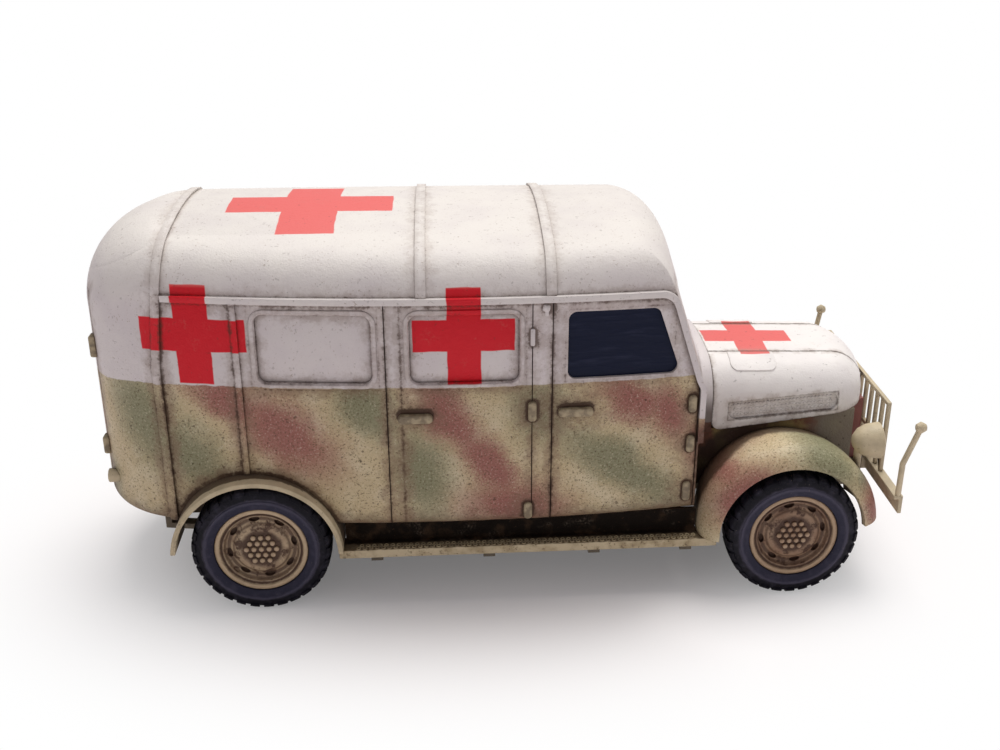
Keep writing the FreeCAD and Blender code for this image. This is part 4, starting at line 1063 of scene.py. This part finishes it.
def louvre_studs(name, side):
    """Rows of tiny raised studs inside the sunk panel of the bonnet's side."""
    x, z = LOUVRE_MIDDLE
    piece = primitive("uv_sphere", segments=6, ring_count=4, radius=0.13 * MM)
    edited(piece, lambda: bpy.ops.transform.resize(value=(1.0, 0.8, 1.0)))
    repeated(piece, LOUVRE_STUDS, (LOUVRE_LENGTH / (LOUVRE_STUDS - 1) * MM, 0, 0))
    repeated(piece, LOUVRE_ROWS, (0, 0, LOUVRE_PITCH * MM))
    piece.location = (-LOUVRE_LENGTH / 2 * MM, 0, -(LOUVRE_ROWS - 1) / 2 * LOUVRE_PITCH * MM)
    applied(piece)
    piece.rotation_euler = (0, -radians(LOUVRE_RISE), 0)
    piece.location = at(x, side * LOUVRE_OUT, z)
    return settle(piece, name, "bonnet", angle=60)


def shoulder_lid(name, side, target):
    """Small raised lid beside the bonnet's hinge."""
    x0, x1, y0, y1 = SHOULDER_LID
    piece = primitive("plane", ((x1 - x0) * MM, (y1 - y0) * MM, 1), size=1,
                      location=at((x0 + x1) / 2, side * (y0 + y1) / 2, 22))
    points, outer = piece.data.vertices, (y1 - 0.1) * MM
    select_parts(piece, "EDGE", lambda edge: all(abs(points[i].co.y) > outer for i in edge.vertices))
    bpy.ops.mesh.bevel(offset=0.6 * MM, segments=4, affect="VERTICES")
    bpy.ops.mesh.select_all(action="SELECT")
    bpy.ops.mesh.subdivide(number_cuts=6)
    bpy.ops.object.mode_set(mode="OBJECT")
    hugging(piece, target, down=True)
    modified(piece, "SOLIDIFY", thickness=0.24 * MM, offset=0.0)
    bevelled(piece, 0.07 * MM, 2, 50)
    return settle(piece, name, "bonnet")


class AMBULANCE_OT_bonnet_trim(bpy.types.Operator):
    """Louvre studs and the small lids on the bonnet"""

    bl_idname = "ambulance.bonnet_trim"
    bl_label = "Bonnet trim"

    def execute(self, context):
        for name, side in SIDES:
            louvre_studs("louvre_studs_" + name, side)
            shoulder_lid("bonnet_lid_" + name, side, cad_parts["bonnet_side_" + name])
        return {"FINISHED"}


# ---- running boards and door furniture ----
# rows of rings: rear end, front end, distance from the middle, number
BOARD_RINGS, BOARD_TOP = ((8.0, 36.4, 12.25, 56), (8.25, 36.65, 11.85, 56)), 5.4
# door handles and hinges of one side: rear edge, front edge, foot, top, radius of the corners
PLATES = (
    ("door_handles", ((11.7, 14.5, 17.15, 17.9, 0.36), (24.65, 27.55, 17.3, 18.05, 0.36))),
    ("door_hinges", ((22.2, 22.9, 16.95, 18.7, 0.3), (21.9, 22.6, 7.9, 9.4, 0.3),
                     (35.65, 36.35, 16.85, 18.4, 0.3), (35.65, 36.35, 13.15, 14.7, 0.3),
                     (35.55, 36.25, 8.5, 10.3, 0.3))),
)
PLATE_DEPTH = 0.6
# check strap knob and the thin bar on the pillar: both ends (the third figure is the height) and radius
FURNITURE = (
    ((23.3, 12.15, 26.75), (23.9, 12.15, 26.65), 0.34),
    ((23.65, 12.15, 26.85), (23.65, 12.15, 26.0), 0.18),
    ((22.55, 12.12, 23.5), (22.55, 12.12, 25.0), 0.26),
)


def plate(span, node, side):
    """Thick plate with round corners, as far out as the cast fitting that it stands for."""
    x0, x1, z0, z1, corner = span
    middle = at((x0 + x1) / 2, 0, (z0 + z1) / 2)
    out = max(p.co.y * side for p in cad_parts[node].data.vertices
              if abs(p.co.x - middle.x) < 2.2 * MM and abs(p.co.z - middle.z) < 1.6 * MM)
    middle.y = side * (out - PLATE_DEPTH / 2 * MM)
    piece = primitive("cube", MM * Vector((x1 - x0, PLATE_DEPTH, z1 - z0)), size=1, location=middle)
    points = piece.data.vertices

    def runs_outwards(edge):
        step = points[edge.vertices[0]].co - points[edge.vertices[1]].co
        return abs(step.x) + abs(step.z) < abs(step.y) / 6

    select_parts(piece, "EDGE", runs_outwards)
    bpy.ops.mesh.bevel(offset=corner * MM, segments=5)
    bpy.ops.object.mode_set(mode="OBJECT")
    bevelled(piece, 0.15 * MM, 3, 60)
    return piece


def tail_hinges():
    """Rounded copies of the knuckles on the rear doors."""
    points = [p.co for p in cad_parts["door_hinges"].data.vertices if p.co.x < at(-9, 0, 0).x]
    middle = (min(p.z for p in points) + max(p.z for p in points)) / 2
    parts = []
    for side, level in ((side, level) for _, side in SIDES for level in (-1, 1)):
        near = [p for p in points if p.y * side > 0 and (p.z - middle) * level > 0]
        low, high = (Vector([pick(p[i] for p in near) for i in range(3)]) for pick in (min, max))
        low.x += (high.x - low.x) * 0.35
        parts.append(primitive("cube", high - low, size=1, location=(low + high) / 2))
        bevelled(parts[-1], 0.2 * MM, 3)
    return parts


def board_rings(name, side):
    """Rows of small raised rings on the tread of a running board."""
    rows = []
    for x0, x1, y, count in BOARD_RINGS:
        rows.append(primitive("torus", major_segments=10, minor_segments=5, major_radius=0.15 * MM,
                              minor_radius=0.07 * MM, location=at(x0, side * y, BOARD_TOP)))
        repeated(rows[-1], count, ((x1 - x0) / (count - 1) * MM, 0, 0))
    return settle(joined(rows), name, "dimple", angle=60)


def door_furniture(name, side):
    """Check strap knob under the drip rail and the thin bar on the door pillar."""
    parts = [bar(*(at(x, side * y, z) for x, y, z in ends), radius * MM) for *ends, radius in FURNITURE]
    return settle(joined(parts), name, "white", angle=50)


class AMBULANCE_OT_small_fittings(bpy.types.Operator):
    """Rings of the running boards, knobs and bars beside the cab doors, handles and hinges"""

    bl_idname = "ambulance.small_fittings"
    bl_label = "Small fittings"

    def execute(self, context):
        for name, side in SIDES:
            board_rings("board_rings_" + name, side)
            door_furniture("door_furniture_" + name, side)
        for node, spans in PLATES:
            parts = [plate(span, node, side) for _, side in SIDES for span in spans]
            parts += tail_hinges() if node == "door_hinges" else []
            settle(joined(parts), node + "_cast", "fitting", stands_for=(node,))
        return {"FINISHED"}


# ---- add-on ----
STEPS = ("stage", "body", "fittings", "wheels", "window_frames", "bonnet_trim", "small_fittings")
GROUPS = {"ambulance_paint": PaintColours, "ambulance_wheels": WheelSizes, "ambulance_trim": TrimSizes,
          "ambulance_stage": StageSettings}


class AMBULANCE_PT_sidebar(bpy.types.Panel):
    """Sizes, colours and steps of the model"""

    bl_idname = "AMBULANCE_PT_sidebar"
    bl_label = "Ambulance truck"
    bl_space_type = "VIEW_3D"
    bl_region_type = "UI"
    bl_category = "Ambulance"

    def draw(self, context):
        for key in GROUPS:
            group = getattr(context.scene, key)
            box = self.layout.box()
            for field in group.__annotations__:
                box.prop(group, field)
        for step in STEPS:
            self.layout.operator("ambulance." + step)


CLASSES = (
    *GROUPS.values(), AMBULANCE_OT_stage, AMBULANCE_OT_body, AMBULANCE_OT_fittings, AMBULANCE_OT_wheels,
    AMBULANCE_OT_window_frames, AMBULANCE_OT_bonnet_trim, AMBULANCE_OT_small_fittings, AMBULANCE_PT_sidebar,
)


def register():
    for cls in CLASSES:
        bpy.utils.register_class(cls)
    for key, group in GROUPS.items():
        setattr(bpy.types.Scene, key, PointerProperty(type=group))


def unregister():
    for key in GROUPS:
        delattr(bpy.types.Scene, key)
    for cls in reversed(CLASSES):
        bpy.utils.unregister_class(cls)


def main():
    register()
    MATERIALS.update(make_materials())
    for step in STEPS:
        getattr(bpy.ops.ambulance, step)()
    nothing_selected()


if __name__ == "__main__":
    main()
